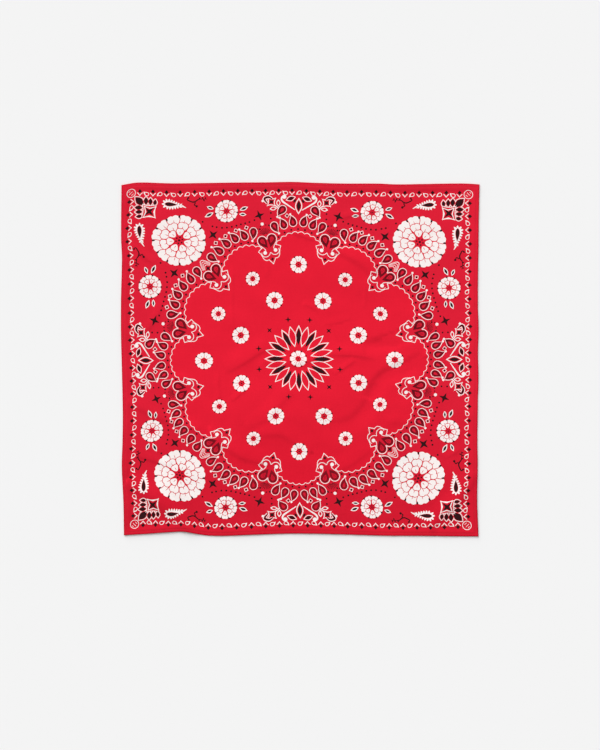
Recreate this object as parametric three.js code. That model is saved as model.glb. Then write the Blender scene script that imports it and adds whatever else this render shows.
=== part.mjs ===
// A square cotton bandana lying flat and face up: one thin square of cloth, with the narrow hem that is
// turned and sewn along each of its four edges, and the soft creases of cloth that was folded and opened.
// Units are millimetres. +X runs to the right across the face, +Y to its upper edge and +Z up from the
// surface that it lies on. The origin is on that surface, under the middle of the cloth.
import * as THREE from "three";

// Driving sizes
const WIDTH = 550; // finished width, from fold to fold of the side hems
const HEIGHT = 543; // finished height, a little less, because the cloth has shrunk along its warp
const CLOTH_WALL = 1.0;
const HEM_WIDTH = 6;
const HEM_WALL = 1.8; // a hem is three layers of cloth
const HEM_ROUND = 0.5; // how much of the fold along the outer edge is rounded away
const SEAM_GAP = 0.3; // between the panel and a hem, and between two hems at a corner

// How finely the solids are divided
const PANEL_CELLS = 50;
const HEM_STEPS = 60;
const FOLD_STEPS = 8;

// The outline: how far each edge stands out of its straight line, in mm, at places along it.
// Along the side edges a place is its height above the middle, and else its distance to the right.
const LEFT_EDGE = [
  { at: -272, out: -3.0 },
  { at: -224, out: -2.3 },
  { at: -165, out: 0.3 },
  { at: -125, out: -0.8 },
  { at: -80, out: -1.2 },
  { at: -14, out: 0.2 },
  { at: 36, out: 1.5 },
  { at: 90, out: 1.6 },
  { at: 134, out: 0.6 },
  { at: 159, out: 0.1 },
  { at: 190, out: 1.4 },
  { at: 272, out: 0.8 },
];
const RIGHT_EDGE = [
  { at: -272, out: 0.6 },
  { at: -212, out: -1.5 },
  { at: -165, out: -0.6 },
  { at: -125, out: -1.1 },
  { at: -60, out: -0.3 },
  { at: -26, out: 0.6 },
  { at: 11, out: -0.2 },
  { at: 48, out: 0.8 },
  { at: 80, out: -0.2 },
  { at: 130, out: -0.2 },
  { at: 165, out: 0.5 },
  { at: 215, out: 1.0 },
  { at: 272, out: 2.2 },
];
const TOP_EDGE = [
  { at: -275, out: -2.8 },
  { at: -250, out: 1.0 },
  { at: -200, out: -0.2 },
  { at: -165, out: 0.1 },
  { at: -100, out: 1.0 },
  { at: -56, out: 1.3 },
  { at: -12, out: 2.0 },
  { at: 20, out: 0.7 },
  { at: 62, out: -0.4 },
  { at: 120, out: -0.6 },
  { at: 148, out: -1.8 },
  { at: 185, out: -1.3 },
  { at: 250, out: -0.4 },
  { at: 275, out: -1.8 },
];
const BOTTOM_EDGE = [
  { at: -275, out: 0.8 },
  { at: -241, out: -1.3 },
  { at: -204, out: -3.9 },
  { at: -182, out: -4.6 },
  { at: -165, out: -1.8 },
  { at: -145, out: 1.2 },
  { at: -117, out: 1.7 },
  { at: -85, out: 0.4 },
  { at: -20, out: -1.7 },
  { at: 30, out: -1.5 },
  { at: 80, out: -0.1 },
  { at: 130, out: 1.4 },
  { at: 190, out: 1.7 },
  { at: 240, out: 2.4 },
  { at: 275, out: 2.6 },
];

// Broad low swells, where the cloth doesn't lie down: the middle, the two half widths and the rise.
const SWELLS = [
  { x: 95, y: 0, across: 135, up: 95, rise: 2.2 },
  { x: -50, y: -85, across: 120, up: 80, rise: 2.0 },
  { x: 70, y: 140, across: 130, up: 60, rise: 1.2 },
  { x: -225, y: -225, across: 75, up: 75, rise: 1.6 },
  { x: 235, y: -205, across: 70, up: 80, rise: 1.2 },
];

// Creases, each a bent line through three places. A rise over 0 is a ridge and one under 0 is a trough.
const FOLDS = [
  { from: [40, 176], by: [107, 139], to: [172, 94], rise: 1.6, half: 13 },
  { from: [104, 20], by: [142, 38], to: [186, 46], rise: -1.7, half: 13 },
  { from: [36, 8], by: [76, 7], to: [116, 1], rise: 1.3, half: 13 },
  { from: [55, -104], by: [90, -68], to: [99, -36], rise: -1.6, half: 13 },
  { from: [97, -44], by: [118, -14], to: [190, 12], rise: -1.9, half: 13 },
  { from: [-113, -18], by: [-86, -2], to: [-55, 13], rise: 1.7, half: 13 },
  { from: [-64, -6], by: [-5, -9], to: [50, 7], rise: 1.5, half: 14 },
  { from: [-86, -103], by: [-43, -81], to: [-8, -50], rise: -1.5, half: 13 },
  { from: [-68, -119], by: [-20, -117], to: [36, -146], rise: 1.4, half: 13 },
  { from: [-264, -62], by: [-207, -97], to: [-150, -111], rise: 1.5, half: 14 },
  { from: [-162, -107], by: [-105, -142], to: [-38, -151], rise: 1.9, half: 14 },
  { from: [44, -174], by: [73, -158], to: [102, -133], rise: 1.4, half: 13 },
  { from: [-262, -180], by: [-214, -226], to: [-170, -276], rise: 2.6, half: 16 },
  { from: [-256, -148], by: [-230, -156], to: [-200, -168], rise: 1.2, half: 13 },
  { from: [-266, 180], by: [-246, 162], to: [-222, 146], rise: 1.1, half: 13 },
  { from: [-22, 197], by: [0, 191], to: [24, 183], rise: 1.1, half: 13 },
  { from: [128, -104], by: [150, -100], to: [176, -101], rise: 1.1, half: 13 },
  { from: [168, -212], by: [220, -202], to: [270, -172], rise: 1.6, half: 16 },
];

// One colour for the cloth's ground, as its dye shows on the face.
const RED = 0xd91f3a;

// Smooth steps and interpolation
const ease = (t) => t * t * (3 - 2 * t);
const clamp = (value, low, high) => Math.min(high, Math.max(low, value));

/** How far an edge stands out at a place along it, on a smooth curve through the rows of its table. */
function standsOut(edge, at) {
  const last = edge.length - 1;
  const place = clamp(at, edge[0].at, edge[last].at);
  const i = clamp(edge.findIndex((row) => row.at >= place) - 1, 0, last - 1);
  const slope = (k) => {
    const before = edge[Math.max(k - 1, 0)];
    const after = edge[Math.min(k + 1, last)];
    return (after.out - before.out) / (after.at - before.at);
  };
  const span = edge[i + 1].at - edge[i].at;
  const t = (place - edge[i].at) / span;
  const start = edge[i].out * (1 - ease(t)) + edge[i + 1].out * ease(t);
  const bend = slope(i) * t * (1 - t) ** 2 - slope(i + 1) * t * t * (1 - t);
  return start + bend * span;
}

/** The line of a fold as short straight pieces, on the curve that passes through its three places. */
function foldLine({ from, by, to }) {
  const curve = new THREE.CatmullRomCurve3(
    [from, by, to].map(([x, y]) => new THREE.Vector3(x, y, 0)),
  );
  return curve.getPoints(FOLD_STEPS);
}

const foldLines = FOLDS.map(foldLine);

/** The rise of one fold over a place of the flat cloth: a rounded section that fades out at both ends. */
function foldRise(fold, line, x, y) {
  let nearest = Infinity;
  let share = 0;
  for (let i = 0; i < line.length - 1; i++) {
    const ax = x - line[i].x;
    const ay = y - line[i].y;
    const bx = line[i + 1].x - line[i].x;
    const by = line[i + 1].y - line[i].y;
    const t = clamp((ax * bx + ay * by) / (bx * bx + by * by), 0, 1);
    const gap = Math.hypot(ax - t * bx, ay - t * by);
    if (gap < nearest) {
      nearest = gap;
      share = (i + t) / (line.length - 1);
    }
  }
  if (nearest >= fold.half) return 0;
  const section = Math.cos((Math.PI / 2) * (nearest / fold.half)) ** 2;
  return fold.rise * section * Math.sqrt(Math.sin(Math.PI * share));
}

/** The rise of one broad swell over a place of the flat cloth. */
function swellRise(swell, x, y) {
  const away = Math.hypot((x - swell.x) / swell.across, (y - swell.y) / swell.up);
  return away < 1 ? swell.rise * Math.cos((Math.PI / 2) * away) ** 2 : 0;
}

/** How high the cloth's underside is off the surface, at a place of the flat cloth. */
function lift(x, y) {
  const swells = SWELLS.reduce((sum, swell) => sum + swellRise(swell, x, y), 0);
  const folds = FOLDS.reduce((sum, fold, i) => sum + foldRise(fold, foldLines[i], x, y), 0);
  return Math.max(0, swells + folds);
}

/** Where a place of the flat cloth comes to lie. u and v run from -1 to 1 across and up the square. */
function layOut(u, v, above) {
  const x = (u * WIDTH) / 2;
  const y = (v * HEIGHT) / 2;
  const right = (standsOut(RIGHT_EDGE, y) * (1 + u)) / 2;
  const left = (standsOut(LEFT_EDGE, y) * (1 - u)) / 2;
  const top = (standsOut(TOP_EDGE, x) * (1 + v)) / 2;
  const bottom = (standsOut(BOTTOM_EDGE, x) * (1 - v)) / 2;
  return [x + right - left, y + top - bottom, lift(x, y) + above];
}

/** A closed body from rings of points, all with as many points, capped at both ends. */
function loft(rings) {
  const count = rings[0].length;
  const position = rings.flat(2);
  const index = [];
  for (let r = 0; r < rings.length - 1; r++) {
    for (let i = 0; i < count; i++) {
      const a = r * count + i;
      const b = r * count + ((i + 1) % count);
      index.push(a, b, a + count, b, b + count, a + count);
    }
  }
  const end = (rings.length - 1) * count;
  for (let i = 1; i < count - 1; i++) {
    index.push(0, i + 1, i, end, end + i, end + i + 1);
  }
  const geometry = new THREE.BufferGeometry();
  geometry.setAttribute("position", new THREE.Float32BufferAttribute(position, 3));
  geometry.setIndex(index);
  return geometry;
}

/** The panel: a wall of even thickness over a square grid, from its underside to its face. */
function panelGeometry() {
  const across = 1 - (HEM_WIDTH + SEAM_GAP) / (WIDTH / 2);
  const up = 1 - (HEM_WIDTH + SEAM_GAP) / (HEIGHT / 2);
  const step = (i) => (2 * i) / PANEL_CELLS - 1;
  const rowLength = PANEL_CELLS + 1;
  const layer = rowLength * rowLength;
  const position = [];
  for (const above of [0, CLOTH_WALL]) {
    for (let j = 0; j < rowLength; j++) {
      for (let i = 0; i < rowLength; i++) {
        position.push(...layOut(step(i) * across, step(j) * up, above));
      }
    }
  }
  const index = [];
  for (let j = 0; j < PANEL_CELLS; j++) {
    for (let i = 0; i < PANEL_CELLS; i++) {
      const a = j * rowLength + i;
      const b = a + 1;
      const c = a + rowLength;
      const d = c + 1;
      index.push(a, d, b, a, c, d);
      index.push(a + layer, b + layer, d + layer, a + layer, d + layer, c + layer);
    }
  }
  // The rim: each step of the border, walked with the cloth on its left side.
  const border = [];
  for (let i = 0; i < PANEL_CELLS; i++) border.push(i);
  for (let j = 0; j < PANEL_CELLS; j++) border.push(j * rowLength + PANEL_CELLS);
  for (let i = PANEL_CELLS; i > 0; i--) border.push(PANEL_CELLS * rowLength + i);
  for (let j = PANEL_CELLS; j > 0; j--) border.push(j * rowLength);
  border.forEach((a, k) => {
    const b = border[(k + 1) % border.length];
    index.push(a, b, b + layer, a, b + layer, a + layer);
  });
  const geometry = new THREE.BufferGeometry();
  geometry.setAttribute("position", new THREE.Float32BufferAttribute(position, 3));
  geometry.setIndex(index);
  return geometry;
}

/** The section of a hem: how far in from its outer edge each corner is, and how far up. */
const HEM_SECTION = [
  { inside: HEM_WIDTH, up: 0 },
  { inside: HEM_ROUND, up: 0 },
  { inside: 0, up: HEM_ROUND },
  { inside: 0, up: HEM_WALL - HEM_ROUND },
  { inside: HEM_ROUND, up: HEM_WALL },
  { inside: HEM_WIDTH, up: HEM_WALL },
];

/** A hem along one edge. The upper and lower hems run the whole width, and the side hems fit between. */
function hemGeometry(side) {
  const upright = side === "left" || side === "right";
  const outward = side === "right" || side === "top" ? 1 : -1;
  const half = upright ? WIDTH / 2 : HEIGHT / 2;
  const reach = upright ? 1 - (HEM_WIDTH + SEAM_GAP) / (HEIGHT / 2) : 1;
  const rings = [];
  for (let k = 0; k <= HEM_STEPS; k++) {
    const along = reach * ((2 * k) / HEM_STEPS - 1);
    const ring = HEM_SECTION.map(({ inside, up }) => {
      const out = outward * (1 - inside / half);
      return upright ? layOut(out, along, up) : layOut(along, out, up);
    });
    rings.push(ring);
  }
  // The loft faces out when its rings turn the same way for every side.
  if (outward > 0 === upright) rings.reverse();
  return loft(rings);
}

function piece(name, geometry) {
  const cotton = new THREE.MeshStandardMaterial({ color: RED, roughness: 0.9, metalness: 0 });
  const mesh = new THREE.Mesh(geometry, cotton);
  mesh.name = name;
  return mesh;
}

const bandana = new THREE.Group();
bandana.name = "bandana";
bandana.add(piece("cloth_panel", panelGeometry()));
for (const side of ["top", "bottom", "left", "right"]) {
  bandana.add(piece(`hem_${side}`, hemGeometry(side)));
}

// The edges aren't even, so the cloth is shifted until its box has its middle over the origin.
const box = new THREE.Box3().setFromObject(bandana);
bandana.position.set(-(box.min.x + box.max.x) / 2, -(box.min.y + box.max.y) / 2, 0);

export default bandana;
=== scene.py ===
"""A square cotton bandana, red with a white and black print, lying flat and face up.

The cloth is one thin closed shell. Its face is cut along the outlines of the print, so each ink is a
set of faces with its own finish, and it wraps round the fold of the hem. Under it lie the four rolled
hems, each sewn down with a row of stitches on both sides. Print, cloth and sewing are worked out in
millimetres and built in metres.
"""

from __future__ import annotations

import cmath
import logging
import math
from dataclasses import dataclass, field
from enum import Enum
from typing import Callable, Iterable, Union

import bpy
import numpy as np
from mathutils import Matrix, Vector
from mathutils.geometry import delaunay_2d_cdt


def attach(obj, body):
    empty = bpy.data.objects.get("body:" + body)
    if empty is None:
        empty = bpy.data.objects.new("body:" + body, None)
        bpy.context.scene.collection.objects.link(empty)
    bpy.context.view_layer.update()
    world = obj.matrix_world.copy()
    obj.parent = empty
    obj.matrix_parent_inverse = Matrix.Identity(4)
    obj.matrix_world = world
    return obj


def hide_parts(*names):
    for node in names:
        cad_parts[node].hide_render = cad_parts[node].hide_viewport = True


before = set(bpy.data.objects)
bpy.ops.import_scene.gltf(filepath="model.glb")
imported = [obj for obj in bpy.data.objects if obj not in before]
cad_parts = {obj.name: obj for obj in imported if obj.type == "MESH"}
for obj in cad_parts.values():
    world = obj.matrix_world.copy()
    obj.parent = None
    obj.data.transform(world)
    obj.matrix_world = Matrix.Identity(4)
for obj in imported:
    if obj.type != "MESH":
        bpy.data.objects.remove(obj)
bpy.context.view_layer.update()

log = logging.getLogger("bandana")

MM = 0.001
Outline = list[complex]
Numbers = np.ndarray
Face = tuple[int, ...]


class Ink(Enum):
    """What colours a patch of the face: the ground, whose darker red outside the field is painted shade, an
    ink, the field's lighter red or a fine hatch.
    """

    GROUND = 0
    WHITE = 1
    BLACK = 2
    FIELD = 3
    HATCH = 4


def polar(reach: float, degrees: float) -> complex:
    """The point at a distance from the origin, in a direction in degrees."""
    return cmath.rect(reach, math.radians(degrees))


def arc(centre: complex, radius: float, start: float, end: float, steps: int = 8) -> Outline:
    """Points along an arc, from one direction in degrees to another."""
    return [centre + polar(radius, start + (end - start) * k / steps) for k in range(steps + 1)]


def disc(centre: complex, radius: float, sides: int = 12) -> Outline:
    """A round dot."""
    return [centre + polar(radius, 360 * k / sides) for k in range(sides)]


def curve(points: Iterable[complex], steps: int = 4, closed: bool = False) -> Outline:
    """A smooth line through points.

    Args:
        points: The places that the line passes through.
        steps: How many straight pieces lie between two places.
        closed: Whether the line runs on from the last place to the first.

    Returns:
        The points of the line.
    """
    given = list(points)
    count = len(given)
    pieces = count if closed else count - 1

    def place(i: int) -> complex:
        """The place at a number, which may lie past either end."""
        return given[i % count] if closed else given[min(max(i, 0), count - 1)]

    line = []
    for i in range(pieces):
        a, b, c, d = (place(i + k) for k in (-1, 0, 1, 2))
        for k in range(steps):
            t = k / steps
            line.append(
                b + (c - a) * t / 2 + (2 * a - 5 * b + 4 * c - d) * t * t / 2
                + (3 * b - a - 3 * c + d) * t**3 / 2
            )
    if not closed:
        line.append(given[-1])
    return line


def band(line: Outline, sides: list[float]) -> Outline:
    """The outline of a band along a line.

    Args:
        line: The middle of the band.
        sides: Half the band's width at each point of the line.

    Returns:
        The left side from the first point on, and then the right side back.
    """
    last = len(line) - 1
    left = []
    right = []
    for i, (point, side) in enumerate(zip(line, sides)):
        way = line[min(i + 1, last)] - line[max(i - 1, 0)]
        across = 1j * way / abs(way) * side
        left.append(point + across)
        right.append(point - across)
    return left + right[::-1]


def stroke(line: Outline, width: float, start: float = 1.0, end: float = 1.0) -> Outline:
    """A pen stroke along a line, which may thin out at its ends.

    Args:
        line: The middle of the stroke.
        width: Its width.
        start: The share of the width that it starts with.
        end: The share of the width that it ends with.

    Returns:
        Its outline.
    """
    last = len(line) - 1
    thinning = 0.4
    shares = []
    for i in range(last + 1):
        s = i / last
        shares.append(min(1.0, start + (1 - start) * s / thinning, end + (1 - end) * (1 - s) / thinning))
    return band(line, [width / 2 * share for share in shares])


def leaf(base: complex, tip: complex, width: float, belly: float = 0.5, steps: int = 8) -> Outline:
    """A pointed oval.

    Args:
        base: One point of it.
        tip: The other one.
        width: Its width.
        belly: How far along its widest place is, as a share of the length.
        steps: How many straight pieces each side has.

    Returns:
        Its outline.
    """
    power = math.log(0.5) / math.log(belly)
    line = [base + (tip - base) * k / steps for k in range(steps + 1)]
    return band(line, [width / 2 * math.sin(math.pi * (k / steps) ** power) for k in range(steps + 1)])


def drop(head: complex, radius: float, tip: complex, bend: float = 0.0, steps: int = 8) -> Outline:
    """A round head that draws out into a tail.

    Args:
        head: The middle of the head.
        radius: The head's radius.
        tip: The end of the tail.
        bend: How far the tail bows out to its left, as a share of its length.
        steps: How many straight pieces each side of the tail has.

    Returns:
        Its outline.
    """
    way = tip - head
    bow = head + way / 2 + 1j * way * bend
    line = []
    for k in range(steps + 1):
        t = k / steps
        line.append(head * (1 - t) ** 2 + 2 * bow * t * (1 - t) + tip * t * t)
    slimming = 1.4
    sides = [radius * (1 - (k / steps) ** 2) ** slimming for k in range(steps + 1)]
    tail = band(line, sides)
    facing = math.degrees(cmath.phase(line[1] - line[0]))
    back = arc(head, radius, facing - 90, facing - 270, 8)
    return tail + back[1:-1]


def star(centre: complex, reach: float, hollow: float = 4.0, turn: float = 0.0, steps: int = 3) -> Outline:
    """A star of four points with hollow sides.

    Args:
        centre: Its middle.
        reach: From the middle to a point.
        hollow: How deep its sides are, over 1. At 2 they are straight.
        turn: Its turn in degrees. At 0 it stands on a point.
        steps: How many straight pieces each half side has.

    Returns:
        Its outline.
    """
    outline = []
    for k in range(8 * steps):
        t = 2 * math.pi * k / (8 * steps)
        x = math.copysign(abs(math.cos(t)) ** hollow, math.cos(t))
        y = math.copysign(abs(math.sin(t)) ** hollow, math.sin(t))
        outline.append(centre + polar(reach, turn) * complex(x, y))
    return outline


def spark(centre: complex, reach: float, turn: float = 0.0, waist: float = 0.3) -> Outline:
    """A star of four thin straight points.

    Args:
        centre: Its middle.
        reach: From the middle to a point.
        turn: Its turn in degrees.
        waist: How far its inner corners are from the middle, as a share of the reach.

    Returns:
        Its outline.
    """
    return [centre + polar(reach * (waist if k % 2 else 1), turn + 45 * k) for k in range(8)]


@dataclass
class Motif:
    """Patches of ink in the order that they are laid. A later patch covers what is under it."""

    patches: list[tuple[Ink, Outline]] = field(default_factory=list)

    def lay(self, ink: Ink, *outlines: Outline) -> "Motif":
        """Lays outlines of one ink and gives the motif back."""
        self.patches += [(ink, outline) for outline in outlines]
        return self

    def join(self, *others: "Motif") -> "Motif":
        """Lays other motifs over this one and gives it back."""
        self.patches += [patch for other in others for patch in other.patches]
        return self

    def moved(self, rule: Callable[[complex], complex]) -> "Motif":
        """A copy whose every point is moved by a rule."""
        return Motif([(ink, [rule(p) for p in outline]) for ink, outline in self.patches])

    def placed(self, place: complex = 0j, turn: float = 0.0, mirrored: bool = False) -> "Motif":
        """A copy in another place.

        Args:
            place: Where its origin comes to lie.
            turn: Its turn in degrees, after the mirroring.
            mirrored: Whether it is mirrored about the first axis.

        Returns:
            The copy.
        """
        spin = polar(1, turn)
        return self.moved(lambda p: place + spin * (p.conjugate() if mirrored else p))

    def stretched(self, across: float, up: float) -> "Motif":
        """A copy that is drawn some times as wide and as high."""
        return self.moved(lambda p: complex(p.real * across, p.imag * up))

    def twice(self) -> "Motif":
        """This motif with its own mirror image beside it."""
        return Motif().join(self, self.placed(mirrored=True))

    def ring(self, count: int, reach: float = 0.0, start: float = 0.0) -> "Motif":
        """Copies round the origin, each turned to face outward."""
        ways = [start + 360 * k / count for k in range(count)]
        return Motif().join(*(self.placed(polar(reach, way), way) for way in ways))


@dataclass(frozen=True)
class Blossom:
    """A round flower of overlapping white petals, the ground showing between them.

    Each row of petals is (count, inner radius, outer radius, width), the outermost first.
    """

    rows: tuple[tuple[int, float, float, float], ...]
    eye: float
    seam: float = 0.8
    notch: float = 0.07
    tick: float = 1.0
    vein: tuple[float, float] = (0.1, 0.62)

    def petal(self, inner: float, outer: float, width: float, more: float) -> Outline:
        """One petal along the first axis.

        Args:
            inner: How far from the flower's middle it starts.
            outer: How far out it ends.
            width: Its width.
            more: How much it is grown all round.

        Returns:
            Its outline, with a notch in its tip.
        """
        long = outer - inner
        half = width / 2
        side = [
            (inner - more * 0.3, half * 0.30 + more),
            (inner + long * 0.40, half * 0.86 + more),
            (inner + long * 0.74, half + more),
            (outer - long * 0.06 + more * 0.5, half * 0.66 + more * 0.7),
            (outer + more, half * 0.28),
        ]
        tip = complex(outer - long * self.notch + more, 0.0)
        around = [complex(x, -y) for x, y in side] + [tip] + [complex(x, y) for x, y in side[::-1]]
        return curve(around, 2, closed=True)

    def build(self) -> Motif:
        """Lays the rows from the outermost inward, and then the eye.

        Returns:
            The flower round the origin.
        """
        flower = Motif()
        for row, (count, inner, outer, width) in enumerate(self.rows):
            for k in range(count):
                way = 360 * (k + 0.5 * (row % 2)) / count
                petal = Motif()
                petal.lay(Ink.GROUND, self.petal(inner, outer, width, self.seam))
                petal.lay(Ink.WHITE, self.petal(inner, outer, width, 0.0))
                foot, end = (complex(inner + (outer - inner) * share) for share in self.vein)
                petal.lay(Ink.GROUND, leaf(foot, end, self.seam * 0.9, 0.5, 3))
                flower.join(petal.placed(turn=way))
            if row == 0:
                end = complex(outer * 0.88 + self.tick * 2.4)
                mark = Motif().lay(Ink.BLACK, leaf(complex(outer * 0.86), end, self.tick * 1.7, 0.6, 4))
                flower.join(mark.ring(count, 0.0, 180 / count))
        flower.lay(Ink.GROUND, disc(0j, self.eye, 16))
        seeds = Motif().lay(Ink.BLACK, disc(0j, self.eye * 0.16, 8))
        flower.join(seeds.ring(6, self.eye * 0.62))
        flower.lay(Ink.BLACK, disc(0j, self.eye * 0.24, 8))
        return flower


@dataclass(frozen=True)
class Paisley:
    """A drop with a white rim, a hatched ring in it and a core of the ground."""

    radius: float = 6.5
    rim: float = 0.88
    gap: float = 0.45
    ring: float = 3.1
    blob: float = 1.75
    bend: float = 0.13
    draw_in: float = 0.85

    def build(self, head: complex, tip: complex, left: bool) -> Motif:
        """Lays the paisley's layers.

        Args:
            head: The middle of its round head.
            tip: The end of its tail.
            left: Whether the tail bows to the left, seen from the head.

        Returns:
            The paisley, with a dot at the tip of its tail.
        """
        bend = self.bend if left else -self.bend
        inner = self.rim + self.gap
        layers = (
            (Ink.WHITE, 0.0, 8),
            (Ink.GROUND, self.rim, 7),
            (Ink.HATCH, inner, 7),
            (Ink.GROUND, inner + self.ring, 6),
        )
        motif = Motif()
        for ink, inset, steps in layers:
            share = 1 - inset / self.radius
            end = head + (tip - head) * (1 - self.draw_in * inset / self.radius)
            motif.lay(ink, drop(head, self.radius - inset, end, bend * share, steps))
        return motif.lay(Ink.WHITE, disc(tip, self.blob, 8))


@dataclass(frozen=True)
class PlacedPaisley:
    """Where a paisley lies: its head and the tip of its tail, each as degrees off the lobe and a radius."""

    at: float
    reach: float
    tip_at: float
    tip_reach: float

    def build(self, kind: Paisley) -> Motif:
        """The paisley in the lobe's own frame, with the lobe's middle along the first axis."""
        left = (self.tip_at > self.at) != (self.tip_reach > self.reach)
        return kind.build(polar(self.reach, self.at), polar(self.tip_reach, self.tip_at), left)


@dataclass(frozen=True)
class Border:
    """The row along each edge: black diamonds over white ticks, and small loops between them."""

    edge: float = 275.0
    diamonds: tuple[float, ...] = (
        11.1, 31.9, 52.4, 73.5, 95.7, 118.0, 140.1, 162.7, 185.2, 206.3, 227.1, 246.9,
    )
    diamond_line: float = 12.6
    diamond_width: float = 0.92
    tick_line: float = 15.4
    loop_line: float = 16.3
    corner: float = 260.0
    corner_radius: float = 6.9

    def tick(self) -> Motif:
        """A white mark like a bird's wings.

        Returns:
            The mark, its point turned inward.
        """
        wing = curve([0.9 + 4.2j, 0.0 + 3.5j, -1.3 + 2.0j, -3.9 + 0.0j], 2)
        mark = Motif().lay(Ink.WHITE, stroke(wing, 1.15, 0.5, 0.9)).twice()
        return mark.lay(Ink.WHITE, disc(-3.7 + 0.0j, 0.7, 8))

    def loop(self) -> Motif:
        """A small open paisley.

        Returns:
            The paisley, its tail to the left and inward.
        """
        head = 0.6 - 0.9j
        tip = -3.3 + 4.5j
        motif = Motif().lay(Ink.WHITE, drop(head, 3.15, tip, -0.18, 6))
        return motif.lay(Ink.GROUND, drop(head, 2.25, head + (tip - head) * 0.62, -0.1, 6))

    def side(self) -> Motif:
        """One side's row, with the first axis pointing outward.

        Returns:
            The diamonds with their ticks, and the loops between them, every other one turned round.
        """
        row = Motif()
        places = sorted([-at for at in self.diamonds] + list(self.diamonds))
        for at in places:
            place = complex(self.edge - self.diamond_line, at)
            diamond = Motif().lay(Ink.BLACK, star(0j, 3.5, 2.3, 0, 2)).stretched(1.0, self.diamond_width)
            row.join(diamond.placed(place))
            row.join(self.tick().placed(complex(self.edge - self.tick_line, at)))
        for k, (a, b) in enumerate(zip(places, places[1:])):
            place = complex(self.edge - self.loop_line, (a + b) / 2)
            turned = k % 2 == 0
            row.join(self.loop().placed(place, 180.0 if turned else 0.0, turned))
        return row

    def corner_mark(self) -> Motif:
        """The mark in each corner.

        Returns:
            A white ring with three slanting dashes in it.
        """
        mark = Motif().lay(Ink.WHITE, disc(0j, self.corner_radius, 24))
        mark.lay(Ink.GROUND, disc(0j, self.corner_radius - 0.9, 24))
        for at, long in ((-2.2, 2.2), (0.4, 3.4), (2.8, 1.6)):
            dash = [complex(at - long * 0.7, at + long * 0.7), complex(at + long * 0.7, at - long * 0.7)]
            mark.lay(Ink.WHITE, stroke(dash, 1.0, 0.8, 0.4))
        return mark

    def build(self) -> Motif:
        """All four sides and corners."""
        corner = self.corner_mark().placed(complex(self.corner, self.corner))
        return Motif().join(self.side().ring(4), corner.ring(4))


@dataclass(frozen=True)
class Medallion:
    """The flower in the middle: long petals, filled and open in turn, with small stars round them."""

    petals: int = 12
    tip: float = 51.2
    foot: float = 18.4
    width: float = 10.2
    rim: float = 0.88
    clear: float = 35.0
    stars_at: float = 61.5
    drawn: tuple[float, float] = (1.05, 1.015)

    def build(self) -> Motif:
        """Lays the filled petals first, so that the open ones lie over their edges.

        Returns:
            The whole flower with its stars.
        """
        base = complex(self.foot)
        tip = complex(self.tip)
        filled = Motif().lay(Ink.WHITE, leaf(base, tip, self.width, 0.52, 10))
        filled.lay(Ink.GROUND, leaf(base + self.rim, tip - 2.7, self.width - 2 * self.rim, 0.52, 10))
        cores = Motif().lay(Ink.BLACK, leaf(complex(21.0), complex(46.6), 6.6, 0.5, 8))
        opened = Motif().lay(Ink.WHITE, leaf(base, tip, self.width + 0.6, 0.5, 10))
        opened.lay(Ink.GROUND, leaf(base + 2.5, tip - 2.5, self.width + 0.6 - 2 * self.rim, 0.5, 10))
        half = 180 / self.petals
        medallion = filled.ring(self.petals).lay(Ink.GROUND, disc(0j, self.clear, 36))
        medallion.join(cores.ring(self.petals), opened.ring(self.petals, 0.0, half))
        for k in range(self.petals):
            way = half + 360 * k / self.petals
            turn = 45.0 if k % 3 == 1 else 0.0
            medallion.lay(Ink.BLACK, spark(polar(self.stars_at, way), 4.8, turn, 0.32))
        centre = Blossom(rows=((8, 4.0, 12.4, 7.2),), eye=4.4, seam=0.6, tick=1.2)
        return medallion.join(centre.build()).stretched(*self.drawn)


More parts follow.
